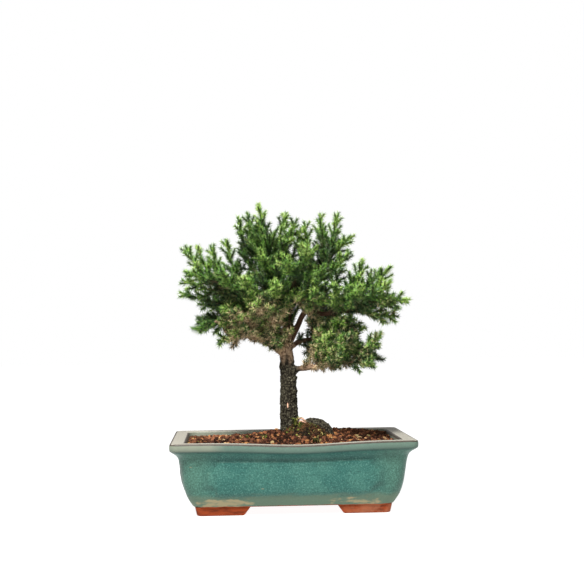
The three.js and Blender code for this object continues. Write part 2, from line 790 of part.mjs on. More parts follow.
export default bonsai;
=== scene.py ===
"""Looks of a Japanese cedar bonsai in its glazed rectangular pot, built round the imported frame.

Sizes in the tables and dataclasses are millimetres, in the frame's own axes: +X along the pot's length, -Y
towards the viewer, +Z up, with the origin on the table under the middle of the pot. Meshes are made in metres.
"""

from __future__ import annotations

import logging
import math
from dataclasses import dataclass, field
from enum import Enum
from typing import Any, Callable, Iterable, Sequence

import bpy
import numpy as np
from mathutils import Matrix, Vector
from mathutils.kdtree import KDTree


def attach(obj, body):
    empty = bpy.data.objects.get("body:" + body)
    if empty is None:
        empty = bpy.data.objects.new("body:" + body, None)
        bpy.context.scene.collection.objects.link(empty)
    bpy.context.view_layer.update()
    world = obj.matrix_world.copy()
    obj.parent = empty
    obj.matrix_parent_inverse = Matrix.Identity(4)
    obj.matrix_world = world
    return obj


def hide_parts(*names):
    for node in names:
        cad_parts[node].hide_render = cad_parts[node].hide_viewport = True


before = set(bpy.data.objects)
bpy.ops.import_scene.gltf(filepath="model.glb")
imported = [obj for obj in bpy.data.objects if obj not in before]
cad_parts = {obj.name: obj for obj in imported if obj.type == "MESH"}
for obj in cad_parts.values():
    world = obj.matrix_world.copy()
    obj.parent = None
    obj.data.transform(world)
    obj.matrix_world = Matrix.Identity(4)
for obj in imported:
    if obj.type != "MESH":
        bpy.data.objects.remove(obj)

log = logging.getLogger("bonsai")

MM = 0.001
FULL_TURN = 2 * math.pi
GOLDEN_ANGLE = math.pi * (3 - math.sqrt(5))
UP = np.array([0.0, 0.0, 1.0])
BODY = "root"

Row = tuple[float, float, float]
Ends = tuple[float, float]
Key = str | int
Attributes = dict[str, np.ndarray]
Material = bpy.types.Material
Object = bpy.types.Object

# Where the photograph's camera stands
EYE: Row = (-65.5, -1346.8, 186.8)


class Slot(Enum):
    """The record's material slots, which the log names for each piece."""

    GLAZE = "glaze"
    SOIL = "soil"
    MOSS = "moss"
    BARK = "bark"
    NEEDLES = "needles"


# Node graphs


def operator(operation: str, is_reflected: bool = False) -> Callable[[Wire, Any], Wire]:
    """Makes the method behind one of a wire's operators.

    Args:
        operation: The Math node's operation.
        is_reflected: Whether the wire is the value on the right.

    Returns:
        The method.
    """

    def method(wire: Wire, other: Any) -> Wire:
        """Adds one Math node on a wire and another value."""
        values = (other, wire) if is_reflected else (wire, other)
        return wire.graph.node("ShaderNodeMath", {"operation": operation}, dict(enumerate(values)))

    return method


@dataclass
class Wire:
    """A node's output. Used in an expression, it adds Math nodes to its graph."""

    graph: Graph
    socket: bpy.types.NodeSocket | None

    __add__ = __radd__ = operator("ADD")
    __mul__ = __rmul__ = operator("MULTIPLY")
    __sub__ = operator("SUBTRACT")
    __rsub__ = operator("SUBTRACT", True)
    __truediv__ = operator("DIVIDE")
    __rtruediv__ = operator("DIVIDE", True)
    __pow__ = operator("POWER")

    def output(self, name: Key) -> Wire:
        """Another output of the same node."""
        return Wire(self.graph, self.socket.node.outputs[name])


class Graph:
    """Adds nodes to one tree."""

    def __init__(self, tree: bpy.types.NodeTree) -> None:
        """Keeps the tree."""
        self.tree = tree

    def node(
        self,
        kind: str,
        settings: dict[str, Any] | None = None,
        inputs: dict[Key, Any] | None = None,
        output: Key = 0,
    ) -> Wire:
        """Adds one node.

        Args:
            kind: The node's type.
            settings: Its own settings, set first. "stops" are a colour ramp's places and colours.
            inputs: Values or wires for its sockets, by name or number. A list of wires goes into one socket.
            output: The output that is returned.

        Returns:
            The output as a wire, with no socket where the node has none.
        """
        made = self.tree.nodes.new(kind)
        for name, value in (settings or {}).items():
            if name != "stops":
                setattr(made, name, value)
                continue
            stops = made.color_ramp.elements
            for _ in range(len(value) - len(stops)):
                stops.new(1.0)
            for stop, (place, colour) in zip(stops, value):
                stop.position = place
                stop.color = linear(colour)
        for key, value in (inputs or {}).items():
            for part in value if isinstance(value, list) else [value]:
                if isinstance(part, Wire):
                    self.tree.links.new(part.socket, made.inputs[key])
                else:
                    made.inputs[key].default_value = part
        return Wire(self, made.outputs[output] if made.outputs else None)

    def vector(self, operation: str, left: Any, right: Any) -> Wire:
        """Vector Math on two vectors."""
        return self.node("ShaderNodeVectorMath", {"operation": operation}, {0: left, 1: right})

    def scaled(self, vector: Wire, factor: Any) -> Wire:
        """A vector or colour times a number."""
        return self.node("ShaderNodeVectorMath", {"operation": "SCALE"}, {0: vector, "Scale": factor})

    def part(self, vector: Wire, axis: str) -> Wire:
        """A vector's share along X, Y or Z."""
        return self.node("ShaderNodeSeparateXYZ", None, {0: vector}, axis)

    def step(self, value: Wire, low: float, high: float) -> Wire:
        """A smooth step from 0 at low to 1 at high."""
        settings = {"interpolation_type": "SMOOTHSTEP"}
        return self.node("ShaderNodeMapRange", settings, {0: value, 1: low, 2: high, 3: 0.0, 4: 1.0})

    def noise(self, place: Wire, size: float, detail: float = 2.0) -> Wire:
        """Noise from 0 to 1 with lumps of about one size, in the unit of the places."""
        return self.node("ShaderNodeTexNoise", None, {"Vector": place, "Scale": 1 / size, "Detail": detail})


def linear(colour: str) -> tuple[float, float, float, float]:
    """Turns a colour into linear values.

    Args:
        colour: Six hex digits.

    Returns:
        Red, green, blue and alpha.
    """
    parts = [int(colour[i : i + 2], 16) / 255 for i in (0, 2, 4)]
    made = [p / 12.92 if p <= 0.04045 else ((p + 0.055) / 1.055) ** 2.4 for p in parts]
    return (made[0], made[1], made[2], 1.0)


class Paint(Graph):
    """The node tree of one finish, round one Principled shader, with the place in millimetres."""

    def __init__(self, name: str) -> None:
        """Makes an empty material.

        Args:
            name: The material's name.
        """
        self.material = bpy.data.materials.new(name)
        self.material.use_nodes = True
        self.material.node_tree.nodes.clear()
        super().__init__(self.material.node_tree)
        self.place = self.scaled(self.node("ShaderNodeTexCoord", None, None, "Object"), 1 / MM)

    def attribute(self, name: str, output: str = "Fac") -> Wire:
        """A value that the mesh holds."""
        return self.node("ShaderNodeAttribute", {"attribute_name": name}, None, output)

    def ramp(self, value: Wire, stops: Sequence[tuple[float, str]]) -> Wire:
        """A colour that follows a value."""
        return self.node("ShaderNodeValToRGB", {"stops": stops}, {0: value})

    def layers(self, colour: Wire | str, *above: tuple[Any, Wire | str]) -> Wire:
        """Lays colours over one another, each a wire or six hex digits.

        Args:
            colour: The lowest one.
            above: The share and the colour of each layer over it.

        Returns:
            The colour that shows.
        """
        for share, layer in above:
            ends = [linear(end) if isinstance(end, str) else end for end in (colour, layer)]
            colour = self.node("ShaderNodeMix", {"data_type": "RGBA"}, {0: share, 6: ends[0], 7: ends[1]}, 2)
        return colour

    def close(
        self, colour: Wire, roughness: Any, height: Wire | None = None, relief: float = 0.0, **fixed: Any
    ) -> Material:
        """Adds the shader and its output.

        Args:
            colour: Base colour.
            roughness: A number or a wire.
            height: Relief from 0 to 1 for the bump, or None.
            relief: How many millimetres the relief stands for.
            fixed: Other sockets of the shader, with _ for a space.

        Returns:
            The finished material.
        """
        sockets = {"Base Color": colour, "Roughness": roughness}
        sockets.update({name.replace("_", " "): value for name, value in fixed.items()})
        if height is not None:
            bump = {"Height": height, "Distance": relief * MM, "Strength": 1.0}
            sockets["Normal"] = self.node("ShaderNodeBump", None, bump)
        shader = self.node("ShaderNodeBsdfPrincipled", None, sockets)
        self.node("ShaderNodeOutputMaterial", None, {"Surface": shader})
        return self.material


class Growth(Graph):
    """A Geometry Nodes tree with named sizes, which turns a source mesh into a finished piece."""

    def __init__(self, name: str, **sizes: int | float) -> None:
        """Makes a tree with its inputs.

        Args:
            name: The tree's name.
            sizes: Its named inputs and their values, lengths in metres.
        """
        super().__init__(bpy.data.node_groups.new(name, "GeometryNodeTree"))
        self.sizes = sizes
        for way in ("INPUT", "OUTPUT"):
            self.tree.interface.new_socket("Geometry", in_out=way, socket_type="NodeSocketGeometry")
        for key, value in sizes.items():
            kind = "NodeSocketInt" if isinstance(value, int) else "NodeSocketFloat"
            self.tree.interface.new_socket(key, in_out="INPUT", socket_type=kind)
        self.source = self.node("NodeGroupInput", None, None, "Geometry")

    def size(self, name: str) -> Wire:
        """One of the named inputs."""
        return self.source.output(name)

    def kept(self, name: str, kind: str = "FLOAT") -> Wire:
        """A value that the source mesh holds."""
        return self.node("GeometryNodeInputNamedAttribute", {"data_type": kind}, {"Name": name})

    def keep(self, geometry: Wire, name: str, value: Any, domain: str = "POINT") -> Wire:
        """Stores a value on the geometry."""
        inputs = {"Geometry": geometry, "Name": name, "Value": value}
        return self.node("GeometryNodeStoreNamedAttribute", {"data_type": "FLOAT", "domain": domain}, inputs)

    def random(self, low: Any, high: Any, seed: Any) -> Wire:
        """A seeded random value for each element: a number or, between tuples, a vector.

        Args:
            low: The least value.
            high: The greatest.
            seed: The seed.

        Returns:
            The value.
        """
        kind, first = ("FLOAT_VECTOR", 0) if isinstance(low, tuple) else ("FLOAT", 2)
        inputs = {first: low, first + 1: high, "Seed": seed}
        return self.node("FunctionNodeRandomValue", {"data_type": kind}, inputs, first // 2)

    def turned(self, rotation: Wire, axis: Row, angle: Wire) -> Wire:
        """Turns a rotation about one of its own axes.

        Args:
            rotation: The rotation.
            axis: The axis.
            angle: How far, in radians.

        Returns:
            The turned rotation.
        """
        turn = self.node("FunctionNodeAxisAngleToRotation", None, {"Axis": axis, "Angle": angle})
        turns = {"Rotation": rotation, "Rotate By": turn}
        return self.node("FunctionNodeRotateRotation", {"rotation_space": "LOCAL"}, turns)

    def raised(self, geometry: Wire, push: Wire) -> Wire:
        """Moves points along their normals."""
        offset = self.scaled(self.node("GeometryNodeInputNormal"), push)
        return self.node("GeometryNodeSetPosition", None, {0: geometry, "Offset": offset})

    def repeated(self, points: Wire, shape: Wire, rotation: Wire, scale: Wire, seed: int) -> Wire:
        """Sets a shape on points, each with a random value "tint".

        Args:
            points: The points.
            shape: The shape that is repeated.
            rotation: How each one is turned.
            scale: How large each one is.
            seed: For the tint.

        Returns:
            The instances.
        """
        inputs = {"Points": points, "Instance": shape, "Rotation": rotation, "Scale": scale}
        made = self.node("GeometryNodeInstanceOnPoints", None, inputs)
        return self.keep(made, "tint", self.random(0.0, 1.0, seed), "INSTANCE")

    def resampled(self, lines: Wire, step: Wire) -> Wire:
        """Lines with points an even step apart."""
        return self.node("GeometryNodeResampleCurve", {"mode": "LENGTH"}, {0: lines, "Length": step})

    def swept(self, lines: Wire, sides: Any, radius: Wire) -> Wire:
        """Rods along lines, as thick as their value "girth" says.

        Args:
            lines: The lines.
            sides: How many sides a rod has.
            radius: A rod's radius where the girth is 1.

        Returns:
            The rods.
        """
        circle = self.node("GeometryNodeCurvePrimitiveCircle", None, {"Resolution": sides, "Radius": radius})
        inputs = {"Curve": lines, "Profile Curve": circle, "Scale": self.kept("girth"), "Fill Caps": True}
        return self.node("GeometryNodeCurveToMesh", None, inputs)

    def close(self, geometry: Wire, material: Material, is_smooth: bool = True) -> None:
        """Ends the tree: instances realized, shading and the material.

        Args:
            geometry: What the tree has made.
            material: Its finish.
            is_smooth: Whether its faces are shaded smooth.
        """
        real = self.node("GeometryNodeRealizeInstances", None, {"Geometry": geometry})
        smooth = self.node("GeometryNodeSetShadeSmooth", None, {"Geometry": real, "Shade Smooth": is_smooth})
        made = self.node("GeometryNodeSetMaterial", None, {"Geometry": smooth, "Material": material})
        self.node("NodeGroupOutput", None, {"Geometry": made})

    def apply(self, source: Object, name: str) -> Object:
        """Runs the tree on a source object, which it takes the place of.

        Args:
            source: The object whose mesh the tree reads.
            name: The finished piece's name.

        Returns:
            The piece, a plain mesh with no modifier.
        """
        modifier = source.modifiers.new(name, "NODES")
        modifier.node_group = self.tree
        for item in self.tree.interface.items_tree:
            if item.in_out == "INPUT" and item.name in self.sizes:
                modifier[item.identifier] = self.sizes[item.name]
        return baked(source, name)


# Meshes


def added(name: str, data: Any) -> Object:
    """Adds an object to the scene.

    Args:
        name: Its name.
        data: Its mesh, camera or light.

    Returns:
        The object.
    """
    made = bpy.data.objects.new(name, data)
    bpy.context.scene.collection.objects.link(made)
    return made


def baked(source: Object, name: str) -> Object:
    """Makes a plain mesh object of what an object's modifiers give, and removes the object.

    Args:
        source: The object with its modifiers.
        name: The new object's name.

    Returns:
        The new object.
    """
    depsgraph = bpy.context.evaluated_depsgraph_get()
    evaluated = source.evaluated_get(depsgraph)
    mesh = bpy.data.meshes.new_from_object(evaluated, preserve_all_data_layers=True, depsgraph=depsgraph)
    old = source.data
    bpy.data.objects.remove(source)
    bpy.data.meshes.remove(old)
    mesh.name = name
    return added(name, mesh)


def mesh_object(
    name: str,
    points: np.ndarray,
    faces: Sequence[Sequence[int]] = (),
    edges: Sequence[Sequence[int]] = (),
    attributes: Attributes | None = None,
) -> Object:
    """Makes a mesh object.

    Args:
        name: The object's name.
        points: Places in millimetres.
        faces: Corner numbers of each face.
        edges: End numbers of each loose edge.
        attributes: Values for each point, to be read by node trees.

    Returns:
        The object, linked to the scene.
    """
    mesh = bpy.data.meshes.new(name)
    mesh.from_pydata((np.asarray(points, float) * MM).tolist(), edges, faces)
    mesh.polygons.foreach_set("use_smooth", [True] * len(mesh.polygons))
    made = added(name, mesh)
    store(made, attributes or {})
    return made


def store(piece: Object, attributes: Attributes) -> None:
    """Stores numbers or vectors on a mesh's points.

    Args:
        piece: The mesh object.
        attributes: An array for each name, with a row for each point.
    """
    for name, values in attributes.items():
        kind, key = ("FLOAT_VECTOR", "vector") if np.ndim(values) == 2 else ("FLOAT", "value")
        layer = piece.data.attributes.new(name, kind, "POINT")
        layer.data.foreach_set(key, np.asarray(values, np.float32).ravel())


def points_of(piece: Object) -> np.ndarray:
    """Reads a mesh's points.

    Args:
        piece: The mesh object.

    Returns:
        Its points in millimetres.
    """
    places = np.zeros(len(piece.data.vertices) * 3, np.float32)
    piece.data.vertices.foreach_get("co", places)
    return places.reshape(-1, 3).astype(float) / MM


@dataclass
class Shell:
    """A closed surface in the making: its points in millimetres and its faces."""

    points: np.ndarray
    faces: list[tuple[int, ...]]

    @staticmethod
    def loft(rings: Sequence[np.ndarray]) -> Shell:
        """Closes a surface through rings of equal counts.

        Args:
            rings: Each one counter-clockwise seen from the last ring's end.

        Returns:
            The shell, with a face on each end ring.
        """
        count = len(rings[0])
        top = (len(rings) - 1) * count
        faces: list[tuple[int, ...]] = [tuple(range(count - 1, -1, -1))]
        for low in range(0, top, count):
            for i in range(count):
                j = (i + 1) % count
                faces.append((low + i, low + j, low + count + j, low + count + i))
        return Shell(np.concatenate(rings), [*faces, tuple(range(top, top + count))])

    @staticmethod
    def joined(shells: Sequence[Shell]) -> Shell:
        """Puts several shells in one, without merging them.

        Args:
            shells: The shells.

        Returns:
            One shell of them all.
        """
        faces: list[tuple[int, ...]] = []
        start = 0
        for shell in shells:
            faces += [tuple(corner + start for corner in face) for face in shell.faces]
            start += len(shell.points)
        return Shell(np.concatenate([shell.points for shell in shells]), faces)

    def made(self, name: str, first: int = 0, **attributes: np.ndarray) -> Object:
        """A mesh object of the shell, from one of its faces on, with values on its points."""
        return mesh_object(name, self.points, self.faces[first:], (), attributes)


def unit(vector: np.ndarray) -> np.ndarray:
    """A vector at length one."""
    return vector / max(float(np.linalg.norm(vector)), 1e-9)


def mixed(first: Any, second: Any, share: float) -> Any:
    """A value part of the way from one to another."""
    return first + (second - first) * share


def smoothstep(value: Any, low: float, high: float) -> Any:
    """A smooth step from 0 at low to 1 at high, on numbers or arrays."""
    share = np.clip((value - low) / (high - low), 0.0, 1.0)
    return share * share * (3 - 2 * share)


def hill(value: Any, middle: float, width: float) -> Any:
    """A smooth hill of height 1 round a middle value."""
    return np.exp(-(((value - middle) / width) ** 2))


def turns_of(count: int) -> np.ndarray:
    """Evenly spaced angles round a circle."""
    return np.arange(count) / count * FULL_TURN


def bezier(start: np.ndarray, bend: np.ndarray, end: np.ndarray, step: float = 2.0) -> np.ndarray:
    """A curved line between two points.

    Args:
        start: First point.
        bend: The point that the line bends towards.
        end: Last point.
        step: About how far apart its points are.

    Returns:
        Its points, from start to end.
    """
    count = max(3, int(round(float(np.linalg.norm(end - start)) / step)))
    t = np.linspace(0, 1, count + 1)[:, None]
    return (1 - t) ** 2 * start + 2 * t * (1 - t) * bend + t**2 * end


def spline(points: Sequence[Row], spans: int = 10) -> np.ndarray:
    """A smooth line through points, as the part's source draws its limbs.

    Args:
        points: The points that it passes.
        spans: Stretches between two of them.

    Returns:
        The line's points.
    """
    knots = np.asarray(points, float)
    knots = np.vstack([2 * knots[0] - knots[1], knots, 2 * knots[-1] - knots[-2]])
    t = (np.arange(spans) / spans)[:, None]
    line = []
    for p0, p1, p2, p3 in zip(knots, knots[1:], knots[2:], knots[3:]):
        a, b, c = (max(float(np.linalg.norm(q - p)) ** 0.5, 1e-4) for p, q in ((p0, p1), (p1, p2), (p2, p3)))
        m1 = ((p1 - p0) / a - (p2 - p0) / (a + b) + (p2 - p1) / b) * b
        m2 = ((p2 - p1) / b - (p3 - p1) / (b + c) + (p3 - p2) / c) * b
        cubic = (2 * p1 - 2 * p2 + m1 + m2) * t**3 + (-3 * p1 + 3 * p2 - 2 * m1 - m2) * t**2
        line.append(cubic + m1 * t + p1)
    return np.vstack([*line, knots[-2]])


def shares_of(line: np.ndarray) -> np.ndarray:
    """The share of a line's length at each of its points."""
    lengths = np.concatenate([[0.0], np.cumsum(np.linalg.norm(np.diff(line, axis=0), axis=1))])
    return lengths / max(lengths[-1], 1e-9)


def length_of(line: np.ndarray) -> float:
    """A line's length."""
    return float(np.linalg.norm(np.diff(line, axis=0), axis=1).sum())


def along(line: np.ndarray, share: Any) -> np.ndarray:
    """The point or points at shares of a line's length."""
    places = shares_of(line)
    return np.stack([np.interp(share, places, line[:, axis]) for axis in range(3)], axis=-1)


def heading_at(line: np.ndarray, share: float) -> np.ndarray:
    """The direction of a line at a share of its length."""
    return unit(along(line, min(share + 0.04, 1.0)) - along(line, max(share - 0.04, 0.0)))


def sides_along(line: np.ndarray) -> tuple[np.ndarray, np.ndarray]:
    """Directions across a line, carried along it without twist.

    Args:
        line: Its points.

    Returns:
        Two directions at each point, at right angles to the line and to each other.
    """
    tangents = np.gradient(line, axis=0)
    tangents /= np.linalg.norm(tangents, axis=1)[:, None]
    side = np.cross(UP, tangents[0])
    if np.linalg.norm(side) < 0.1:
        side = np.cross([1.0, 0.0, 0.0], tangents[0])
    sides = []
    for tangent in tangents:
        side = unit(side - tangent * (side @ tangent))
        sides.append(side)
    return np.array(sides), np.cross(tangents, sides)


def tube(line: np.ndarray, radii: Sequence[float], sides: int, lumps: float = 0.0, seed: int = 0) -> Shell:
    """A closed tube along a line.

    Args:
        line: Its points.
        radii: Radii from its foot to its end, spread evenly over its length.
        sides: Points in each ring.
        lumps: How far the radius wanders, as a share of it.
        seed: For the wandering.

    Returns:
        The tube's shell.
    """
    radius = np.interp(shares_of(line), np.linspace(0, 1, len(radii)), radii)
    random = np.random.default_rng(seed)
    turns = turns_of(sides)
    rings = []
    for point, across, upward, thick in zip(line, *sides_along(line), radius):
        reach = thick * (1 + lumps * (random.random(sides) - 0.5))
        ring = point + across * (np.cos(turns) * reach)[:, None] + upward * (np.sin(turns) * reach)[:, None]
        rings.append(ring)
    return Shell.loft(rings)


def dressed(
    piece: Object, slot: Slot, material: Material | None = None, stands_for: Iterable[str] = ()
) -> Object:
    """Ties a finished piece to the frame and reports it.

    Args:
        piece: The mesh object.
        slot: The record's material slot for its finish, which only the log names.
        material: Its material, where no node tree has set one.
        stands_for: The frame's nodes that it takes the place of.

    Returns:
        The piece.
    """
    if material is not None:
        piece.data.materials.clear()
        piece.data.materials.append(material)
    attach(piece, BODY)
    nodes = list(stands_for)
    if nodes:
        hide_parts(*nodes)
    triangles = sum(len(face.vertices) - 2 for face in piece.data.polygons)
    log.info("%s: %d triangles, slot %s, in place of %d nodes", piece.name, triangles, slot.value, len(nodes))
    return piece


# Finishes


@dataclass(frozen=True)
class GlazeFinish:
    """Blue-green glaze, thin and tan at edges, over orange clay that shows bare on the feet, with painted shade under
    the rim and along the panels, and a pale rim top that is partly painted reflection.
    """

    deep: str = "255850"
    light: str = "35655a"
    green: str = "406455"
    # Dark specks in the glaze; the same colour paints the shade.
    speck_and_shade_dark: str = "14332f"
    speck_light: str = "5b8a7c"
    band: str = "53665b"
    dusty: str = "7b7f6f"
    # Rim top: paler glaze, with painted reflection of the light on the top face.
    pale: str = "aca699"
    grey: str = "5f705c"
    tan: str = "948969"
    edge: str = "33261e"
    clay: str = "8b3a17"
    clay_dark: str = "54200c"
    clay_pale: str = "a4684a"
    clay_line: float = 9.6

    def make(self) -> Material:
        """Builds the material from the mesh's values "thin", "bald", "shade", "rim", "dust", "top" and "edge".

        Returns:
            The material.
        """
        paint = Paint("glaze_finish")
        step, noise, held, place = paint.step, paint.noise, paint.attribute, paint.place
        x, z = (paint.part(place, axis) for axis in "XZ")
        cloud, fine = noise(place, 9.0, 4.0), noise(place, 1.4, 3.0)
        streak = noise(paint.vector("MULTIPLY", place, (0.3, 0.3, 1.2)), 3.5, 4.0)
        far = step(paint.node("ShaderNodeMath", {"operation": "ABSOLUTE"}, {0: x}), 70.0, 104.0)
        thin = step(held("thin") + (streak - 0.5) * 0.9, 0.15, 0.9)
        bald = step(held("bald") + (cloud + streak - 1.0) * 1.2, 0.35, 0.8)
        brown = step(held("edge") + (noise(place, 8.0, 4.0) - 0.5) * 0.5, 0.25, 0.6)
        bare = step(z + (noise(place, 7.0, 3.0) - 0.5) * 1.6, self.clay_line + 0.35, self.clay_line)
        clay = paint.layers(
            self.clay,
            (step(streak, 0.42, 0.7) * 0.8, self.clay_dark),
            (step(x, 20.0, 80.0) * step(cloud, 0.3, 0.6) * 0.6, self.clay_pale),
        )
        colour = paint.layers(
            self.deep,
            (step(noise(place, 30.0, 3.0), 0.36, 0.64), self.light),
            (far * 0.8, self.green),
            (step(fine, 0.5, 0.72) * 0.5, self.speck_light),
            (step(fine, 0.5, 0.3) * 0.5, self.speck_and_shade_dark),
            (thin * 0.8, self.grey),
            (bald * (0.35 + 0.9 * step(streak, 0.35, 0.6)), self.tan),
            (held("rim") * (0.6 + 0.3 * fine), self.band),
            (held("dust") * (0.6 + 0.5 * cloud), self.dusty),
            # Pale rim top, partly pale glaze and partly painted reflection.
            (held("top") * (0.75 + 0.25 * cloud), self.pale),
            # Painted shade under the rim, in a line below the rim band, along the panels' edges and towards the bottom
            # of the band.
            (held("shade"), self.speck_and_shade_dark),
            (brown * 0.9, self.edge),
            (bare, clay),
        )
        roughness = 0.36 + thin * 0.2 + bare * 0.4 + fine * 0.08
        return paint.close(colour, roughness, fine * 0.7 + cloud * 0.3, 0.16, Specular_IOR_Level=0.3)


@dataclass(frozen=True)
class GranuleFinish:
    """Baked-clay soil granules: red-brown, with some orange, tan and nearly black ones, and painted lighter towards
    the back.
    """

    shades: tuple[tuple[float, str], ...] = (
        (0.0, "080401"), (0.28, "221007"), (0.55, "42251a"), (0.76, "64402d"),
        (0.87, "805035"), (0.94, "98693c"), (0.98, "ac9068"), (1.0, "5b6528"),
    )
    # Dust on the granules; it also carries the painted light at the back.
    dust: str = "99684a"
    pit: str = "140b07"

    def make(self) -> Material:
        """Builds the material from the mesh's value "tint".

        Returns:
            The material.
        """
        paint = Paint("granule_finish")
        grit = paint.noise(paint.place, 0.7, 4.0)
        # Painted light: the granules towards the back are made lighter, where the crown's shadow falls on them.
        back = paint.step(paint.part(paint.place, "Y"), 5.0, 45.0)
        colour = paint.layers(
            paint.scaled(paint.ramp(paint.attribute("tint"), self.shades), 1 + back * 0.9),
            (paint.step(grit, 0.52, 0.7) * 0.35 + back * 0.2, self.dust),
            (paint.step(grit, 0.47, 0.3) * 0.7, self.pit),
        )
        return paint.close(colour, 0.92, grit, 0.25, Specular_IOR_Level=0.1)


@dataclass(frozen=True)
class MossFinish:
    """Moss, liverwort and weed leaves beside the trunk."""

    dark: str = "1c140b"
    earth: str = "50361f"
    moss: str = "3d401c"
    bright: str = "6f7c30"
    straw: str = "9c8c58"
    pit: str = "14140a"

    def make(self) -> Material:
        """Builds the material from the mesh's value "tint".

        Returns:
            The material.
        """
        paint = Paint("moss_finish")
        step, tint, grain = paint.step, paint.attribute("tint"), paint.noise(paint.place, 0.8, 3.0)
        colour = paint.layers(
            self.earth,
            (step(paint.noise(paint.place, 5.0, 3.0), 0.42, 0.6), self.dark),
            (step(tint, 0.78, 0.84), self.moss),
            (step(tint, 0.88, 0.93), self.bright),
            (step(tint, 0.94, 0.98) * 0.8, self.straw),
            (step(grain, 0.5, 0.3) * 0.5, self.pit),
        )
        return paint.close(colour, 0.9, grain, 0.3, Specular_IOR_Level=0.15)


@dataclass(frozen=True)
class BarkFinish:
    """Charcoal nodular bark on the old trunk and tan, fibrous bark on the limbs and twigs, with painted shade in the
    knobs' hollows and on limbs inside the crown, and lichen with painted highlights on the knobs.
    """

    # Old bark in the hollows between knobs: its own dark crevices, darkened further as painted shade.
    old_dark: str = "1a160f"
    old: str = "403c2f"
    # Lichen on the knob tops, also painting their highlights.
    lichen_and_highlight: str = "817d68"
    young: str = "a68b70"
    young_dark: str = "3c2a1f"
    young_pale: str = "c6b294"
    # Darker reddish bark on the right limbs, partly their own colour and partly painted shade of the crown.
    limb: str = "4c3628"
    # Painted shade: bark high inside the crown, made dark.
    inner: str = "2e2b18"
    scar: str = "cfa288"
    scar_at: Row = (-2.6, -9.4, 107.5)
    scar_half: Row = (0.75, 6.0, 2.9)

    def make(self) -> Material:
        """Builds the material from the mesh's values "old", "knob", "grain" and "pale".

        Returns:
            The material.
        """
        paint = Paint("bark_finish")
        step, noise, held, place = paint.step, paint.noise, paint.attribute, paint.place
        x, z = (paint.part(place, axis) for axis in "XZ")
        # Lichen with painted highlights on the knob tops, and the hollows between knobs darker, partly painted shade.
        patch = step(noise(place, 1.3, 3.0), 0.5, 0.66) * step(held("knob"), 0.3, 0.9)
        old = paint.layers(
            self.old_dark, (step(held("knob"), 0.05, 0.7), self.old), (patch * 0.8, self.lichen_and_highlight)
        )
        fibre = noise(paint.vector("MULTIPLY", held("grain", "Vector"), (1.0, 1.0, 0.2)), 1.5, 4.0)
        # Darker reddish bark on the right of the tree, most on the limbs above the fork: partly the limbs' own colour,
        # partly painted shade of the crown over them.
        right = step(z, 170.0, 186.0) * step(x, -16.0, -6.0) * 0.8
        off = paint.vector("DIVIDE", paint.vector("SUBTRACT", place, self.scar_at), self.scar_half)
        away = paint.node("ShaderNodeVectorMath", {"operation": "LENGTH"}, {0: off}, "Value")
        colour = paint.layers(
            self.young_dark,
            (step(fibre, 0.3, 0.55), self.young),
            (step(fibre, 0.55, 0.75) * 0.7, self.young_pale),
            (step(noise(place, 3.5, 3.0), 0.48, 0.6) * 0.7, self.young_dark),
            (right + step(x, 3.0, 9.0) * 0.5, self.limb),
            # Painted shade: bark high inside the crown made dark.
            (step(z, 200.0, 222.0) * 0.85, self.inner),
            (held("old"), old),
            (step(away, 1.05, 0.8), self.scar),
            (held("pale") * step(fibre, 0.2, 0.6), self.scar),
        )
        relief = fibre * 0.6 + noise(place, 1.0, 4.0) * 0.4
        return paint.close(colour, 0.88, relief, 0.35, Specular_IOR_Level=0.15)


@dataclass(frozen=True)
class NeedleFinish:
    """Needles from painted dark shade at their bases and inside the crown to yellow-green at fresh tips, painted
    lighter towards the front and top of the crown, and bronze where they are old.
    """

    shades: tuple[tuple[float, str], ...] = (
        (0.0, "050b01"), (0.18, "2c4d16"), (0.43, "6c9938"), (0.75, "92b44e"), (1.0, "a9c46a"),
    )
    # Painted shade at the needles' bases.
    deep: str = "060b02"
    cool: str = "2c5226"
    dry: str = "d8bc94"
    dry_dark: str = "80623f"
    stem: str = "4d4a26"

    def make(self) -> Material:
        """Builds the material from the mesh's values for freshness with painted light in it, for dryness, and "tint",
        "share" and "stem".

        Returns:
            The material.
        """
        paint = Paint("needle_finish")
        step, held = paint.step, paint.attribute
        tint, dry = held("tint"), held("dry")
        clump = step(paint.noise(paint.place, 13.0), 0.36, 0.64)
        cloud = step(paint.noise(paint.place, 26.0), 0.4, 0.62)
        # The vigour mixes fresh growth with painted light: lighter at fresh tips and at the front and top of the
        # crown, darker inside it.
        vigour_and_light = (held("fresh") * 0.85 + 0.15) * (tint + 0.28) * (clump * 0.95 + 0.47)
        outer = paint.layers(paint.ramp(vigour_and_light, self.shades), (cloud * step(vigour_and_light, 0.8, 0.4) * 0.4, self.cool))
        colour = paint.layers(
            self.deep,
            # Painted shade: each needle dark at its base, lighter towards its tip.
            (step(held("share"), 0.0, 0.45), outer),
            (step(dry + (tint - 0.5) * 0.6, 0.15, 0.75), paint.layers(self.dry_dark, (tint, self.dry))),
            (held("stem") * 0.6, paint.layers(self.stem, (step(dry, 0.2, 0.6), self.dry))),
        )
        return paint.close(colour, 0.36, Specular_IOR_Level=0.35)


@dataclass(frozen=True)
class ScreenFinish:
    """Moulded plastic drainage mesh, a little dusty."""

    plastic: str = "26352c"
    dust: str = "6d5a48"

    def make(self) -> Material:
        """Builds the material.

        Returns:
            The material.
        """
        paint = Paint("screen_finish")
        dust = paint.step(paint.noise(paint.place, 4.0, 4.0), 0.5, 0.7)
        colour = paint.layers(self.plastic, (dust * 0.5, self.dust))
        return paint.close(colour, 0.45 + dust * 0.3, paint.noise(paint.place, 0.9, 3.0), 0.08)


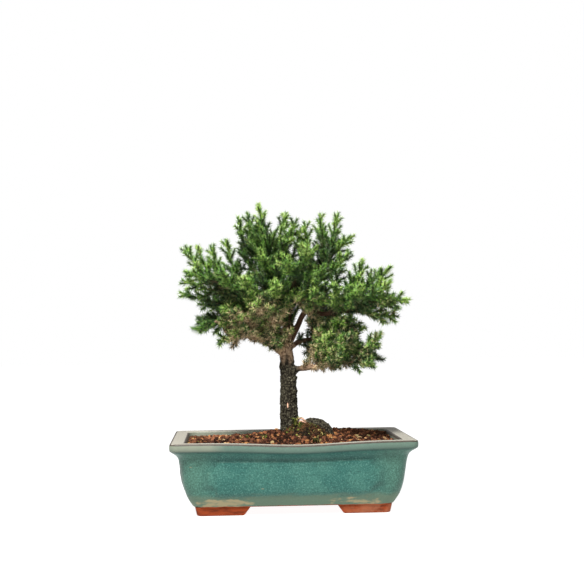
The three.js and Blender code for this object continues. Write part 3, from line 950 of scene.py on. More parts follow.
@dataclass(frozen=True)
class FloorFinish:
    """Plain white sheet, lit from below as on a photographer's light table."""

    paper: str = "7c7c7b"
    shade: str = "767675"
    glow: float = 0.95

    def make(self) -> Material:
        """Builds the material.

        Returns:
            The material.
        """
        paint = Paint("floor_finish")
        colour = paint.layers(self.paper, (paint.noise(paint.place, 900.0), self.shade))
        return paint.close(colour, 0.95, Emission_Color=(1.0, 1.0, 1.0, 1.0), Emission_Strength=self.glow)


# Pot


@dataclass
class Pot:
    """The glazed pot: bowl, rim, raised panels, feet and drain holes, and the two screens over the holes."""

    half_length: float = 125.0
    half_depth: float = 90.0
    height: float = 75.0
    rim_width: float = 15.3
    rim_band: float = 8.0
    floor_under: float = 9.0
    floor_top: float = 16.0
    rim_corner: float = 7.0
    belly_corner: float = 13.0
    hollow_corner: float = 10.0
    drain_x: float = 48.0
    drain_radius: float = 9.0
    panel_rise: float = 1.8
    panel_low: float = 21.5
    panel_high: float = 56.0
    panel_notch: float = 10.0
    panel_half_front: float = 88.0
    panel_half_side: float = 54.0
    foot_out: Ends = (100.8, 65.8)
    foot_run: Ends = (56.5, 32.0)
    # Height, slant of the inner ends and taper of the outer faces
    foot_levels: tuple[Row, ...] = (
        (0, 7.7, 3.3), (0.4, 6.8, 2.5), (1.3, 5.6, 2), (8, 0.7, 0.6), (9, 0, 0.4), (10.5, 0, 3),
    )
    foot_chamfer: float = 5.0
    side_points: int = 72
    end_points: int = 48
    corner_points: int = 12
    sag_depth: float = 3.2
    sag_middle: float = 6.0
    sag_reach: float = 56.0
    outer_wall: tuple[Ends, ...] = (
        (9, 23.9), (9.4, 22.9), (13, 20.4), (20, 16.6), (31, 13.2), (43, 11.2), (54, 9.6), (60, 7.9),
        (63.4, 5.4), (65.8, 2.6), (66.9, 1.3), (67.8, 0.4), (69.2, 0), (73.2, 0), (74.4, 0.4), (75, 1.5),
    )
    rim_top: tuple[Ends, ...] = ((75.1, 4.5), (75.1, 12), (74.9, 14.2), (74.2, 15.4), (72.5, 15.9))
    inner_wall: tuple[Ends, ...] = ((66, 16.9), (60, 17.6), (42, 19.9), (28, 23.6), (20, 28.5), (16, 33))

    def ring(self, inset: float, z: float, corner: float) -> np.ndarray:
        """A rectangle with round corners, counter-clockwise from above.

        Args:
            inset: How far it lies inside the rim's outer edge.
            z: Its height.
            corner: Its corner radius.

        Returns:
            Its points, equally many on every ring.
        """
        x = self.half_length - inset - corner
        y = self.half_depth - inset - corner
        loop = []
        for k, (sx, sy) in enumerate(((1, 1), (-1, 1), (-1, -1), (1, -1))):
            angles = np.linspace(0, math.pi / 2, self.corner_points) + k * math.pi / 2
            arc = np.stack([sx * x + corner * np.cos(angles), sy * y + corner * np.sin(angles)], axis=1)
            count, end = self.side_points, (-sx * x, sy * (y + corner))
            if k % 2:
                count, end = self.end_points, (sx * (x + corner), -sy * y)
            shares = np.arange(1, count + 1) / (count + 1)
            loop += [arc, arc[-1] + (np.array(end) - arc[-1]) * shares[:, None]]
        flat = np.vstack(loop)
        return np.column_stack([flat, np.full(len(flat), z)])

    def outer_corner(self, z: float) -> float:
        """The corner radius of the outside at a height."""
        foot = self.height - self.rim_band
        return mixed(self.belly_corner, self.rim_corner, float(smoothstep(z, foot - 6, foot + 1)))

    def section(self, rows: Sequence[Ends], spans: int) -> np.ndarray:
        """A smooth line through rows of a height and an inset."""
        return spline([(z, inset, 0.0) for z, inset in rows], spans)

    def profile(self) -> list[Row]:
        """The section from the underside, up the outside, over the rim and down the inside.

        Returns:
            Height, inset and corner radius of each ring.
        """
        rows = [(z, inset, self.outer_corner(z)) for z, inset, _ in self.section(self.outer_wall, 5)]
        for z, inset, _ in self.section((self.outer_wall[-1], *self.rim_top), 3)[1:]:
            share = min(max((inset - 1.5) / self.rim_width, 0.0), 1.0)
            rows.append((z, inset, mixed(self.rim_corner, self.hollow_corner, share)))
        inside = self.section((self.rim_top[-1], *self.inner_wall), 2)[1:]
        return rows + [(z, inset, self.hollow_corner) for z, inset, _ in inside]

    def is_long_side(self, points: np.ndarray) -> np.ndarray:
        """Whether each point is nearer to the front or back than to an end."""
        return self.half_depth - np.abs(points[:, 1]) < self.half_length - np.abs(points[:, 0])

    def panel_mask(self, points: np.ndarray) -> np.ndarray:
        """How far points stand inside a raised panel.

        Args:
            points: The points.

        Returns:
            The distance from the panel's edge, above 0 inside it.
        """
        on_front, z = self.is_long_side(points), points[:, 2]
        run = np.where(on_front, np.abs(points[:, 0]), np.abs(points[:, 1]))
        half = np.where(on_front, self.panel_half_front, self.panel_half_side)
        inside = np.minimum.reduce([half - run, z - self.panel_low, self.panel_high - z])
        for level in (self.panel_low, self.panel_high):
            inside = np.minimum(inside, np.hypot(run - half, z - level) - self.panel_notch)
        return inside

    def sag(self, x: np.ndarray) -> np.ndarray:
        """How far the front rim hangs at places along it."""
        return self.sag_depth * hill(x, self.sag_middle, self.sag_reach)

    def bowl(self) -> Object:
        """The bowl with its rim and panels, without feet.

        Returns:
            The bowl.
        """
        rings = []
        outer = len(self.section(self.outer_wall, 5))
        for k, (z, inset, corner) in enumerate(self.profile()):
            ring = self.ring(inset, z, corner)
            if k < outer:
                rise = smoothstep(self.panel_mask(ring), -2.0, 1.6) * self.panel_rise
                axis = np.where(self.is_long_side(ring)[:, None], [0, 1, 0], [1, 0, 0])
                ring = ring + np.sign(ring) * axis * rise[:, None]
            ring[:, 2] -= self.sag(ring[:, 0]) * smoothstep(z, 40.0, 70.0) * smoothstep(ring[:, 1], -68.0, -74.0)
            rings.append(ring)
        return Shell.loft(rings).made("pot_bowl")

    def foot(self, sx: int, sy: int) -> Shell:
        """One foot under a corner of the pot, slanted at its inner ends.

        Args:
            sx: 1 for the right, -1 for the left.
            sy: 1 for the back, -1 for the front.

        Returns:
            The foot.
        """
        rings = []
        turns = np.linspace(0, math.pi / 2, 6)
        for z, slant, taper in self.foot_levels:
            x0, y0 = (out - run + slant for out, run in zip(self.foot_out, self.foot_run))
            x1, y1 = (out - taper for out in self.foot_out)
            chamfer = self.foot_chamfer
            arc = [(x1 - chamfer * (1 - math.cos(t)), y1 - chamfer * (1 - math.sin(t))) for t in turns]
            loop = np.array([(x0, y0), (x1, y0), *arc, (x0, y1)])
            ring = np.column_stack([loop[:, 0] * sx, loop[:, 1] * sy, np.full(len(loop), z)])
            rings.append(ring[::-1] if sx * sy < 0 else ring)
        return Shell.loft(rings)

    def drain(self, x: float) -> Shell:
        """A plug that cuts one drain hole.

        Args:
            x: Where the hole is.

        Returns:
            The plug.
        """
        turns = turns_of(32)
        circle = np.column_stack([np.cos(turns), np.sin(turns)]) * self.drain_radius + [x, 0.0]
        levels = (self.floor_under - 5, self.floor_top + 5)
        return Shell.loft([np.column_stack([circle, np.full(32, z)]) for z in levels])

    def glaze_values(self, places: np.ndarray) -> Attributes:
        """Where the glaze is thin, bald or dusty, where shade is painted on it, and where the rim top is paler with a
        painted reflection.

        Args:
            places: The pot's points.

        Returns:
            The values that the glaze's finish reads.
        """
        x, z = places[:, 0], places[:, 2]
        inset = np.minimum(self.half_length - np.abs(x), self.half_depth - np.abs(places[:, 1]))
        is_outside = inset < self.rim_width - 1
        is_wall = is_outside & (z < 62)
        mask = self.panel_mask(places)
        level = z + self.sag(x) * smoothstep(z, 40.0, 68.0) * (places[:, 1] < -70)
        notch = np.hypot(np.abs(x) - self.panel_half_front, z - self.panel_low)
        edge = smoothstep(mask, 3.0, 0.0) * smoothstep(mask, -2.0, 0.0)
        band = smoothstep(level, 66.5, 68.0)
        # Painted shade: on the wall under the rim, in a line below the rim band, along the panels' edges, and darker
        # towards the bottom of the rim band.
        shade = smoothstep(level, 54.0, 60.0) * smoothstep(level, 67.6, 66.0) * is_outside * 0.1
        shade += hill(level, 66.6, 0.9) * is_outside * 0.5 + hill(mask, -1.0, 2.0) * is_wall * 0.28
        shade += band * smoothstep(level, 72.5, 67.5) * is_outside * 0.3
        ends = (hill(x, -72, 26) + 0.6 * hill(x, 66, 36)) * smoothstep(z, 20.5, 15.0)
        lip = hill(level, 74.4, 0.8) * smoothstep(inset, 3.0, 1.6) * 1.2
        hollow = hill(inset, 15.0, 1.0) * smoothstep(z, 70.0, 71.0) * (places[:, 1] < 60)
        return {
            "thin": smoothstep(z, 27.0, 14.0) + edge * 0.3 * is_wall,
            "bald": ends + hill(notch, 0.0, 4.0) * 0.6 * is_wall,
            "shade": np.minimum(shade, 0.9),
            "rim": band,
            "dust": band * np.maximum(smoothstep(x, -60.0, -90.0), 0.15) + smoothstep(z, 66.0, 71.0) * ~is_outside,
            # Pale rim top: paler glaze, with painted reflection of the light on the top face.
            "top": smoothstep(level, 73.9, 74.7),
            "edge": lip + hollow,
        }

    def finished(self, material: Material) -> Object:
        """Joins the feet, cuts the drain holes and dresses the pot.

        Args:
            material: The glaze.

        Returns:
            The pot.
        """
        pot = self.bowl()
        feet = Shell.joined([self.foot(sx, sy) for sx in (1, -1) for sy in (1, -1)])
        holes = Shell.joined([self.drain(self.drain_x), self.drain(-self.drain_x)])
        tools = (("UNION", feet.made("pot_feet")), ("DIFFERENCE", holes.made("pot_drains")))
        for operation, tool in tools:
            cut = pot.modifiers.new(operation.lower(), "BOOLEAN")
            cut.operation = operation
            cut.object = tool
            cut.solver = "EXACT"
        pot = baked(pot, "pot_ware")
        for _, tool in tools:
            bpy.data.objects.remove(tool)
        store(pot, self.glaze_values(points_of(pot)))
        pot.data.set_sharp_from_angle(angle=math.radians(38))
        return dressed(pot, Slot.GLAZE, material, ["pot"])

    def dress_screens(self, material: Material) -> None:
        """Gives the frame's own drain screens their finish.

        Args:
            material: The screens' finish.
        """
        for name in ("drain_screen_left", "drain_screen_right"):
            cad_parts[name].material_slots[0].material = material
            log.info("%s: the frame's node, in its own finish", name)


# Soil, moss and weeds


@dataclass
class Planting:
    """The soil bed with its granules, the moss cushion beside the trunk, and a few weeds."""

    pot: Pot
    level: float = 70.0
    mound_rise: float = 11.5
    mound_reach: Ends = (52.0, 44.0)
    bank_rise: float = 5.6
    bank_x: float = 62.0
    bank_reach: float = 46.0
    bank_behind: Ends = (10.0, 55.0)
    most_per_m2: float = 900000.0
    size_range: Ends = (0.55, 1.55)
    size_power: float = 2.2
    lump_share: float = 0.72
    moss_centre: Ends = (16.0, -12.0)
    moss_reach: Ends = (24.0, 18.0)
    moss_rise: float = 10.5
    gap: float = 0.4
    sink: float = 1.2
    seed: int = 11
    tufts_at: tuple[tuple[float, float, int, float], ...] = (
        (3.0, -15.0, 8, 13.0), (9.0, -22.0, 4, 8.0), (24.0, -54.0, 9, 7.0),
        (-30.0, -32.0, 5, 6.0), (-46.0, -20.0, 4, 5.0), (33.0, -27.0, 3, 6.0),
    )

    def height(self, x: Any, y: Any) -> Any:
        """The soil's height over the table.

        Args:
            x: Place or places along the pot.
            y: Place or places across it.

        Returns:
            The height.
        """
        mound = self.mound_rise * np.exp(-((x / self.mound_reach[0]) ** 2) - (y / self.mound_reach[1]) ** 2)
        bank = self.bank_rise * hill(x, self.bank_x, self.bank_reach) * smoothstep(y, *self.bank_behind)
        return self.level + mound + bank

    def surface(self, x: float, y: float) -> float:
        """The height of the soil or, where that is higher, of the moss.

        Args:
            x: Place along the pot.
            y: Place across it.

        Returns:
            The height over the table.
        """
        (cx, cy), (rx, ry) = self.moss_centre, self.moss_reach
        away = ((x - cx) / rx) ** 2 + ((y - cy) / ry) ** 2
        return float(self.height(x, y)) + max(self.moss_rise * (1 - away) - 1.8, 0.0)

    def relief(self, x: np.ndarray, y: np.ndarray) -> np.ndarray:
        """Gentle unevenness of the bed."""
        return 0.7 * np.sin(x * 0.21 + 1.3) * np.cos(y * 0.17) + 0.5 * np.sin(x * 0.43 + y * 0.37)

    def bed_rings(self, count: int) -> list[np.ndarray]:
        """Rings of the soil's top, from the pot's wall in to the middle.

        Args:
            count: How many.

        Returns:
            The rings.
        """
        rings = []
        for share in np.linspace(1, 0.004, count):
            ring = self.pot.ring(self.pot.rim_width + 1.0 + self.gap, 0.0, self.pot.hollow_corner) * share
            ring[:, 2] = self.height(ring[:, 0], ring[:, 1]) + self.relief(ring[:, 0], ring[:, 1]) - self.sink
            rings.append(ring)
        return rings

    def tinted(self, shell: Shell, name: str, seed: int, most: float) -> Object:
        """A mesh of a shell with a random value "tint" on each point."""
        return shell.made(name, tint=np.random.default_rng(seed).random(len(shell.points)) * most)

    def bed(self, material: Material) -> Object:
        """The soil under the top granules, down to the pot's floor.

        Args:
            material: The granules' finish.

        Returns:
            The bed.
        """
        walls = reversed(self.pot.inner_wall)
        lower = [self.pot.ring(inset + self.gap, z + self.gap, self.pot.hollow_corner) for z, inset in walls]
        shell = Shell.loft([*lower, *self.bed_rings(16)])
        return dressed(self.tinted(shell, "soil_bed", self.seed, 0.4), Slot.SOIL, material, ["soil"])

    def scatter(
        self, shell: Shell, name: str, slot: Slot, material: Material, spacing: float, radius: float
    ) -> Object:
        """Granules scattered over a surface, each one lumpy in its own way.

        Args:
            shell: The surface.
            name: The piece's name.
            slot: Its material slot.
            material: Its finish.
            spacing: The least distance between two granules.
            radius: A middling granule's radius.

        Returns:
            The granules.
        """
        sizes = {"Spacing": spacing * MM, "Grain radius": radius * MM, "Lump height": self.lump_share * radius * MM}
        sizes.update(zip(("Smallest", "Largest"), self.size_range))
        growth = Growth(name, **sizes, Seed=self.seed)
        size = growth.size
        scatter = {"Mesh": growth.source, "Distance Min": size("Spacing"), "Seed": size("Seed")}
        scatter["Density Max"] = self.most_per_m2
        points = growth.node("GeometryNodeDistributePointsOnFaces", {"distribute_method": "POISSON"}, scatter)
        grain = growth.node("GeometryNodeMeshIcoSphere", None, {0: size("Grain radius"), 1: 2})
        turn = growth.random((0.0, 0.0, 0.0), (6.28, 6.28, 6.28), size("Seed"))
        squash = growth.random((0.75, 0.8, 0.7), (1.25, 1.1, 1.05), 3)
        share = growth.random(0.0, 1.0, 5)
        scale = size("Smallest") + (size("Largest") - size("Smallest")) * share**self.size_power
        stones = growth.repeated(points, grain, turn, growth.scaled(squash, scale), 8)
        real = growth.node("GeometryNodeRealizeInstances", None, {0: stones})
        lump = growth.noise(growth.node("GeometryNodeInputPosition"), 1 / 420.0, 1.0)
        growth.close(growth.raised(real, (lump - 0.5) * 2.0 * size("Lump height")), material, False)
        return dressed(growth.apply(shell.made(name, 1), name), slot)

    def moss_dome(self) -> Shell:
        """The cushion's surface: a low dome that dips under the soil at its edge.

        Returns:
            The dome.
        """
        (cx, cy), (rx, ry) = self.moss_centre, self.moss_reach
        random = np.random.default_rng(self.seed + 1)
        turns = turns_of(48)
        wave = 1 + 0.1 * np.sin(turns * 3 + 1) + 0.06 * np.sin(turns * 7)
        rings = []
        for share in np.linspace(1, 0.02, 22):
            x = cx + rx * share * np.cos(turns) * wave
            y = cy + ry * share * np.sin(turns) * wave
            lump = 1.3 * np.sin(x * 0.55 + 2) * np.sin(y * 0.6) + 0.7 * (random.random(48) - 0.5)
            z = self.height(x, y) - self.sink + self.moss_rise * (1 - share**2) - 0.6 + lump * (1 - share**4)
            rings.append(np.column_stack([x, y, z]))
        return Shell.loft([rings[0] - [0.0, 0.0, 2.5], *rings])

    def tufts(self, material: Material) -> Object:
        """Short moss blades over the cushion.

        Args:
            material: The moss.

        Returns:
            The blades.
        """
        sizes = {"Blades per m2": 250000.0, "Blade": 2.6 * MM, "Width": 0.45 * MM, "Seed": 4}
        growth = Growth("moss_blades", **sizes)
        scatter = {"Mesh": growth.source, "Density": growth.size("Blades per m2"), "Seed": growth.size("Seed")}
        points = growth.node("GeometryNodeDistributePointsOnFaces", None, scatter)
        cone = {"Vertices": 3, "Radius Top": 0.0, "Radius Bottom": growth.size("Width"), "Depth": growth.size("Blade")}
        blade = growth.node("GeometryNodeMeshCone", None, cone)
        lean = growth.random((-0.9, -0.9, 0.0), (0.9, 0.9, 6.28), 6)
        growth.close(growth.repeated(points, blade, lean, growth.random(0.45, 1.25, 7), 9), material)
        return dressed(growth.apply(self.moss_dome().made("moss_source", 1), "moss_blades"), Slot.MOSS)

    def weeds(self, material: Material) -> Object:
        """Young weeds: narrow leaves in small tufts near the trunk and by the front rim.

        Args:
            material: The moss, which has their greens.

        Returns:
            The leaves.
        """
        random = np.random.default_rng(self.seed + 3)
        shells, tints = [], []
        for cx, cy, count, reach in self.tufts_at:
            for _ in range(count):
                x, y = cx + random.normal(0, 2.4), cy + random.normal(0, 2.0)
                foot = np.array([x, y, self.surface(x, y) - 0.5])
                turn = random.random() * FULL_TURN
                out = np.array([math.cos(turn), math.sin(turn), 0.0])
                size = reach * (0.6 + 0.5 * random.random())
                bend = foot + UP * size * 0.85 + out * size * 0.15
                tip = foot + UP * size * 0.7 + out * size * 0.7
                shells.append(tube(bezier(foot, bend, tip, 1.4), (0.3, 0.6, 0.55, 0.05), 4))
                tints.append(np.full(len(shells[-1].points), 0.8 + 0.2 * random.random()))
        weeds = Shell.joined(shells).made("weed_leaves", tint=np.concatenate(tints))
        return dressed(weeds, Slot.MOSS, material)

    def build(self, granule: Material, moss: Material) -> None:
        """Makes all the pieces on the soil.

        Args:
            granule: The granules' finish.
            moss: The moss's.
        """
        self.bed(granule)
        self.scatter(Shell.loft(self.bed_rings(30)), "soil_granules", Slot.SOIL, granule, 3.0, 1.8)
        dome = self.moss_dome()
        dressed(self.tinted(dome, "moss_cushion", self.seed + 2, 0.55), Slot.MOSS, moss, ["moss"])
        self.scatter(dome, "moss_crumbs", Slot.MOSS, moss, 2.3, 1.1)
        self.tufts(moss)
        self.weeds(moss)


# Tree


@dataclass(frozen=True)
class Limb:
    """One limb: the points that it runs through, and its radii from root to end."""

    points: tuple[Row, ...]
    radii: tuple[float, ...]

    def line(self) -> np.ndarray:
        """The limb's line."""
        return spline(self.points)


LIMBS = {
    "trunk": Limb(
        (
            (0, 0, 52), (0, 0, 70), (-0.5, 0, 84), (-1, 0, 100), (-1, 0, 117), (-1, 0, 134), (-2, 0, 150),
            (-3, 0, 164), (-2, 1, 180), (0, 4, 196), (-8, 6, 222), (-16, 3, 252), (-24, -1, 282),
        ),
        (9, 9.7, 9.8, 9.4, 8.9, 7.6, 5.7, 4.6, 3.6, 3, 2.2, 1.6),
    ),
    "low_right": Limb(
        ((1, 0, 144), (10, -7, 146), (23, -15, 148), (37, -24, 150), (57, -33, 153), (70, -38, 157)), (3.7, 1.7)
    ),
    "back_right": Limb(((0, 0, 168), (13, 13, 175), (33, 28, 178), (57, 43, 183)), (3.2, 1.6)),
    "high_right": Limb(
        ((-2, 0, 168), (9, 3, 190), (19, 1, 207), (36, -10, 204), (51, -21, 205), (65, -29, 211), (80, -34, 218)),
        (3.7, 1.6),
    ),
    "top_right": Limb(((19, 1, 206), (29, 13, 228), (37, 22, 252), (44, 26, 272)), (3, 1.6)),
    "low_left": Limb(((-3, 0, 160), (-23, -7, 174), (-44, -16, 182), (-61, -23, 188), (-77, -26, 197)), (4.0, 1.6)),
    "back_left": Limb(((-3, 0, 165), (-17, 15, 188), (-38, 30, 208), (-60, 43, 226), (-77, 50, 242)), (3.4, 1.6)),
    "front_left": Limb(
        ((-3, 0, 163), (-17, -13, 190), (-35, -28, 211), (-56, -39, 228), (-79, -42, 242)), (3.4, 1.6)
    ),
    "front": Limb(((-4, 5, 208), (1, -22, 227), (8, -44, 243), (14, -55, 255)), (2.6, 1.5)),
    "back": Limb(((-3, 5, 205), (5, 26, 224), (13, 43, 240), (18, 53, 254)), (2.6, 1.5)),
}

ARCHED_ROOT = Limb(((0, 0, 76), (12, 1, 81), (22, 1, 85.5), (29, 1, 86), (36, 0, 81), (44, -2, 67)), (8, 7.2))
BURIED_ROOTS = (
    Limb(((0, 0, 66), (-22, 6, 62), (-45, 14, 50)), (6, 2.4)),
    Limb(((0, 0, 64), (-10, -20, 57), (-18, -40, 44)), (5.5, 2.2)),
    Limb(((0, 0, 66), (6, 20, 60), (20, 42, 48)), (5.5, 2.2)),
)
# The swelling under the low right limb, and the strips of torn bark over the surface root
COLLAR = Limb(((3.5, -1, 138), (5, -2, 144), (8, -4, 148)), (3, 6, 2.5))
TORN_STRIPS = (
    Limb(((5, -9, 88), (8, -12.5, 93), (12, -13, 93.5), (17, -12, 90)), (0.5, 1.5, 1.1, 0.3)),
    Limb(((7, -10, 87), (10, -13.5, 90.5), (14, -14, 90), (19, -13, 86.5)), (0.6, 1.2, 0.9, 0.3)),
)

# Sprays on each limb: the share of its length that the twig leaves from, the spray's foot, and its tip
SPRAYS = {
    "trunk": (
        (1, -26, -1, 286, -30, -2, 323), (0.89, -38, 10, 284, -43, 14, 315), (0.77, -51, 15, 277, -53, 11, 310),
        (0.92, -9, 17, 285, 0, 22, 315), (0.85, -5, -10, 275, 10, -15, 305), (0.8, -24, -29, 251, -31, -58, 270),
        (0.67, -18, -29, 227, -15, -65, 236),
    ),
    "top_right": (
        (0.85, 39, 34, 286, 38, 40, 315), (1, 49, 24, 281, 57, 19, 314), (0.6, 20, 3, 271, 18, -3, 303),
        (0.8, 53, 13, 271, 68, 6, 288), (0.5, 52, -1, 253, 67, -9, 270),
    ),
    "high_right": (
        (0.8, 68, -28, 233, 78, -32, 259), (0.92, 82, -16, 233, 99, -7, 251), (1, 91, -35, 232, 104, -37, 252),
        (0.88, 89, -51, 225, 102, -67, 235), (1, 95, -49, 214, 121, -62, 217), (0.82, 91, -11, 214, 115, 4, 225),
        (0.75, 86, -34, 203, 112, -40, 200), (0.6, 50, -43, 218, 45, -72, 233), (0.75, 63, -51, 219, 69, -82, 231),
        (0.38, 31, -36, 218, 25, -67, 228),
    ),
    "back_right": ((1, 60, 45, 186, 73, 54, 203), (0.85, 48, 48, 198, 57, 71, 219)),
    "low_right": (
        (1, 76, -40, 165, 93, -45, 180), (0.92, 75, -28, 157, 94, -19, 157), (0.85, 66, -43, 153, 84, -54, 151),
        (0.7, 56, -43, 164, 62, -59, 184), (0.35, 36, -18, 162, 42, -14, 190), (0.8, 72, -18, 167, 95, -1, 168),
    ),
    "front": (
        (1, 15, -56, 257, 16, -81, 271), (0.75, 4, -54, 247, -8, -80, 262), (0.55, 19, -45, 237, 33, -74, 248),
    ),
    "back": ((1, 19, 57, 261, 21, 79, 285), (0.72, 3, 50, 252, -12, 71, 273), (0.6, 33, 46, 247, 53, 72, 265)),
    "back_left": (
        (0.8, -57, 41, 263, -66, 47, 288), (1, -75, 50, 257, -83, 50, 282), (0.7, -71, 36, 217, -97, 39, 217),
        (0.55, -38, 46, 232, -41, 74, 253), (0.9, -73, 56, 235, -91, 75, 250), (0.35, -25, 39, 212, -33, 72, 219),
    ),
    "front_left": (
        (0.85, -89, -33, 251, -97, -31, 276), (1, -95, -45, 248, -108, -40, 276),
        (0.92, -87, -52, 240, -108, -56, 248), (0.75, -87, -36, 230, -112, -32, 241),
        (0.55, -86, -20, 218, -115, -10, 229), (0.5, -44, -44, 229, -48, -76, 242),
        (0.7, -64, -53, 235, -72, -78, 251), (0.3, -35, -32, 207, -38, -64, 214),
    ),
    "low_left": (
        (1, -80, -26, 197, -98, -29, 189), (0.8, -72, -8, 203, -95, 5, 202), (0.6, -57, -27, 181, -75, -32, 177),
        (0.45, -48, -34, 196, -59, -61, 208),
    ),
}

# More sprays for the looks, where the photograph shows none of the limbs between the sprays above
INNER_SPRAYS = {
    "low_right": (
        (0.36, 31, -18, 156, 34, -24, 182), (0.42, 30, -20, 158, 31, -32, 187), (0.5, 36, -26, 160, 35, -42, 178),
        (0.55, 42, -26, 163, 46, -38, 188), (0.45, 33, -10, 160, 32, 4, 182), (0.6, 44, -18, 163, 50, -2, 186),
        (0.75, 57, -26, 166, 62, -14, 190), (0.85, 64, -32, 170, 74, -36, 190), (0.6, 46, -36, 156, 52, -56, 161),
    ),
    "back_right": (
        (0.35, 15, 14, 184, 20, 22, 208), (0.5, 28, 24, 188, 36, 34, 211), (0.45, 24, 22, 172, 26, 30, 158),
        (0.7, 40, 34, 172, 46, 42, 160), (0.8, 46, 30, 190, 58, 24, 208),
    ),
    "low_left": (
        (0.25, -18, -14, 178, -22, -34, 196), (0.45, -34, -20, 184, -38, -40, 202),
        (0.6, -48, -28, 190, -54, -44, 206), (0.75, -60, -30, 196, -68, -42, 212),
        (0.35, -28, -6, 188, -32, 4, 210), (0.7, -66, -24, 190, -87, -26, 182), (0.55, -54, -22, 186, -68, -18, 181),
        (0.8, -74, -20, 196, -97, -14, 196), (0.5, -46, -24, 187, -60, -34, 186),
        (0.12, -12, -12, 172, -16, -28, 178), (0.2, -18, -16, 174, -27, -32, 184), (0.08, -6, -10, 176, -5, -24, 186),
    ),
    "front_left": (
        (0.3, -22, -26, 200, -24, -48, 212), (0.45, -36, -36, 214, -40, -58, 222),
        (0.2, -14, -18, 196, -8, -40, 210),
    ),
    "front": ((0.2, -2, -16, 212, -6, -38, 216), (0.4, 4, -30, 222, 12, -50, 224)),
    "high_right": (
        (0.2, 8, -8, 196, 12, -30, 208), (0.35, 22, -16, 206, 18, -38, 214), (0.5, 38, -26, 206, 38, -46, 214),
        (0.6, 50, -30, 200, 54, -46, 194),
    ),
    "back_left": ((0.3, -20, 26, 194, -22, 46, 204), (0.45, -34, 34, 206, -40, 54, 214)),
}

# Short shoots straight on a limb: how many, between which shares of its length, their mean length, how dry
# they are, and how much they turn upwards
COVER = (
    ("low_left", 60, (0.12, 0.9), 13.0, 0.9, 0.9),
    ("low_left", 50, (0.3, 0.85), 6.0, 0.8, -0.35),
    ("low_right", 44, (0.2, 0.97), 10.0, 0.7, 0.5),
    ("low_right", 40, (0.45, 0.95), 5.0, 0.6, -0.5),
    ("high_right", 34, (0.5, 0.97), 12.0, 0.45, 0.3),
    ("front_left", 54, (0.08, 0.97), 15.0, 0.25, 0.1),
    ("back_left", 50, (0.1, 0.97), 16.0, 0.05, 0.2),
    ("trunk", 20, (0.5, 0.62), 7.0, 0.8, 0.4),
    ("trunk", 110, (0.57, 0.98), 25.0, 0.05, 0.3),
    ("back_right", 26, (0.2, 0.97), 13.0, 0.1, 0.0),
    ("top_right", 44, (0.1, 0.97), 18.0, 0.05, 0.2),
    ("front", 14, (0.1, 0.97), 12.0, 0.1, 0.0),
    ("back", 34, (0.1, 0.98), 19.0, 0.05, 0.2),
)

# Single shoots, two upright ones low in the right and a fan of old ones low in the left: their limb, their
# freshness, dryness and girth at both ends, and the foot, bend and tip of each
SINGLE_SHOOTS = (
    (
        "low_right", (0.6, 0.9), (0.3, 0.0), (1.3, 0.8),
        (((37, -24, 150), (37, -38, 160), (35, -41, 181)), ((51, -31, 152), (52, -46, 162), (52, -48, 180))),
    ),
    (
        "low_left", (0.1, 0.3), (1.0, 0.7), (2.2, 1.3),
        (
            ((-6, -3, 161), (-30, -14, 182), (-52, -24, 208)), ((-8, -6, 165), (-30, -20, 190), (-38, -30, 212)),
            ((-5, -5, 166), (-22, -18, 192), (-22, -30, 214)), ((-14, -8, 170), (-36, -24, 182), (-56, -34, 190)),
        ),
    ),
)


@dataclass
class Shoot:
    """One stretch of growth from foot to tip, with what its needles and stem are like."""

    line: np.ndarray
    limb: str
    # How fresh the needles look at foot and tip, with painted light in it: lighter at the front and top of the crown,
    # darker inside it.
    fresh: Ends
    dry: Ends
    reach: float
    girth: Ends


@dataclass
class Spray:
    """A twig's place on its limb, as a share of the limb's length, and the foot and tip of its shoot."""

    limb: str
    share: float
    foot: np.ndarray
    tip: np.ndarray


def sprays_in(*tables: dict[str, tuple[tuple[float, ...], ...]]) -> list[Spray]:
    """Reads tables of sprays.

    Args:
        tables: The tables.

    Returns:
        Their rows, in order.
    """
    rows = [(limb, np.array(row, float)) for table in tables for limb, group in table.items() for row in group]
    return [Spray(limb, float(row[0]), row[1:4], row[4:]) for limb, row in rows]


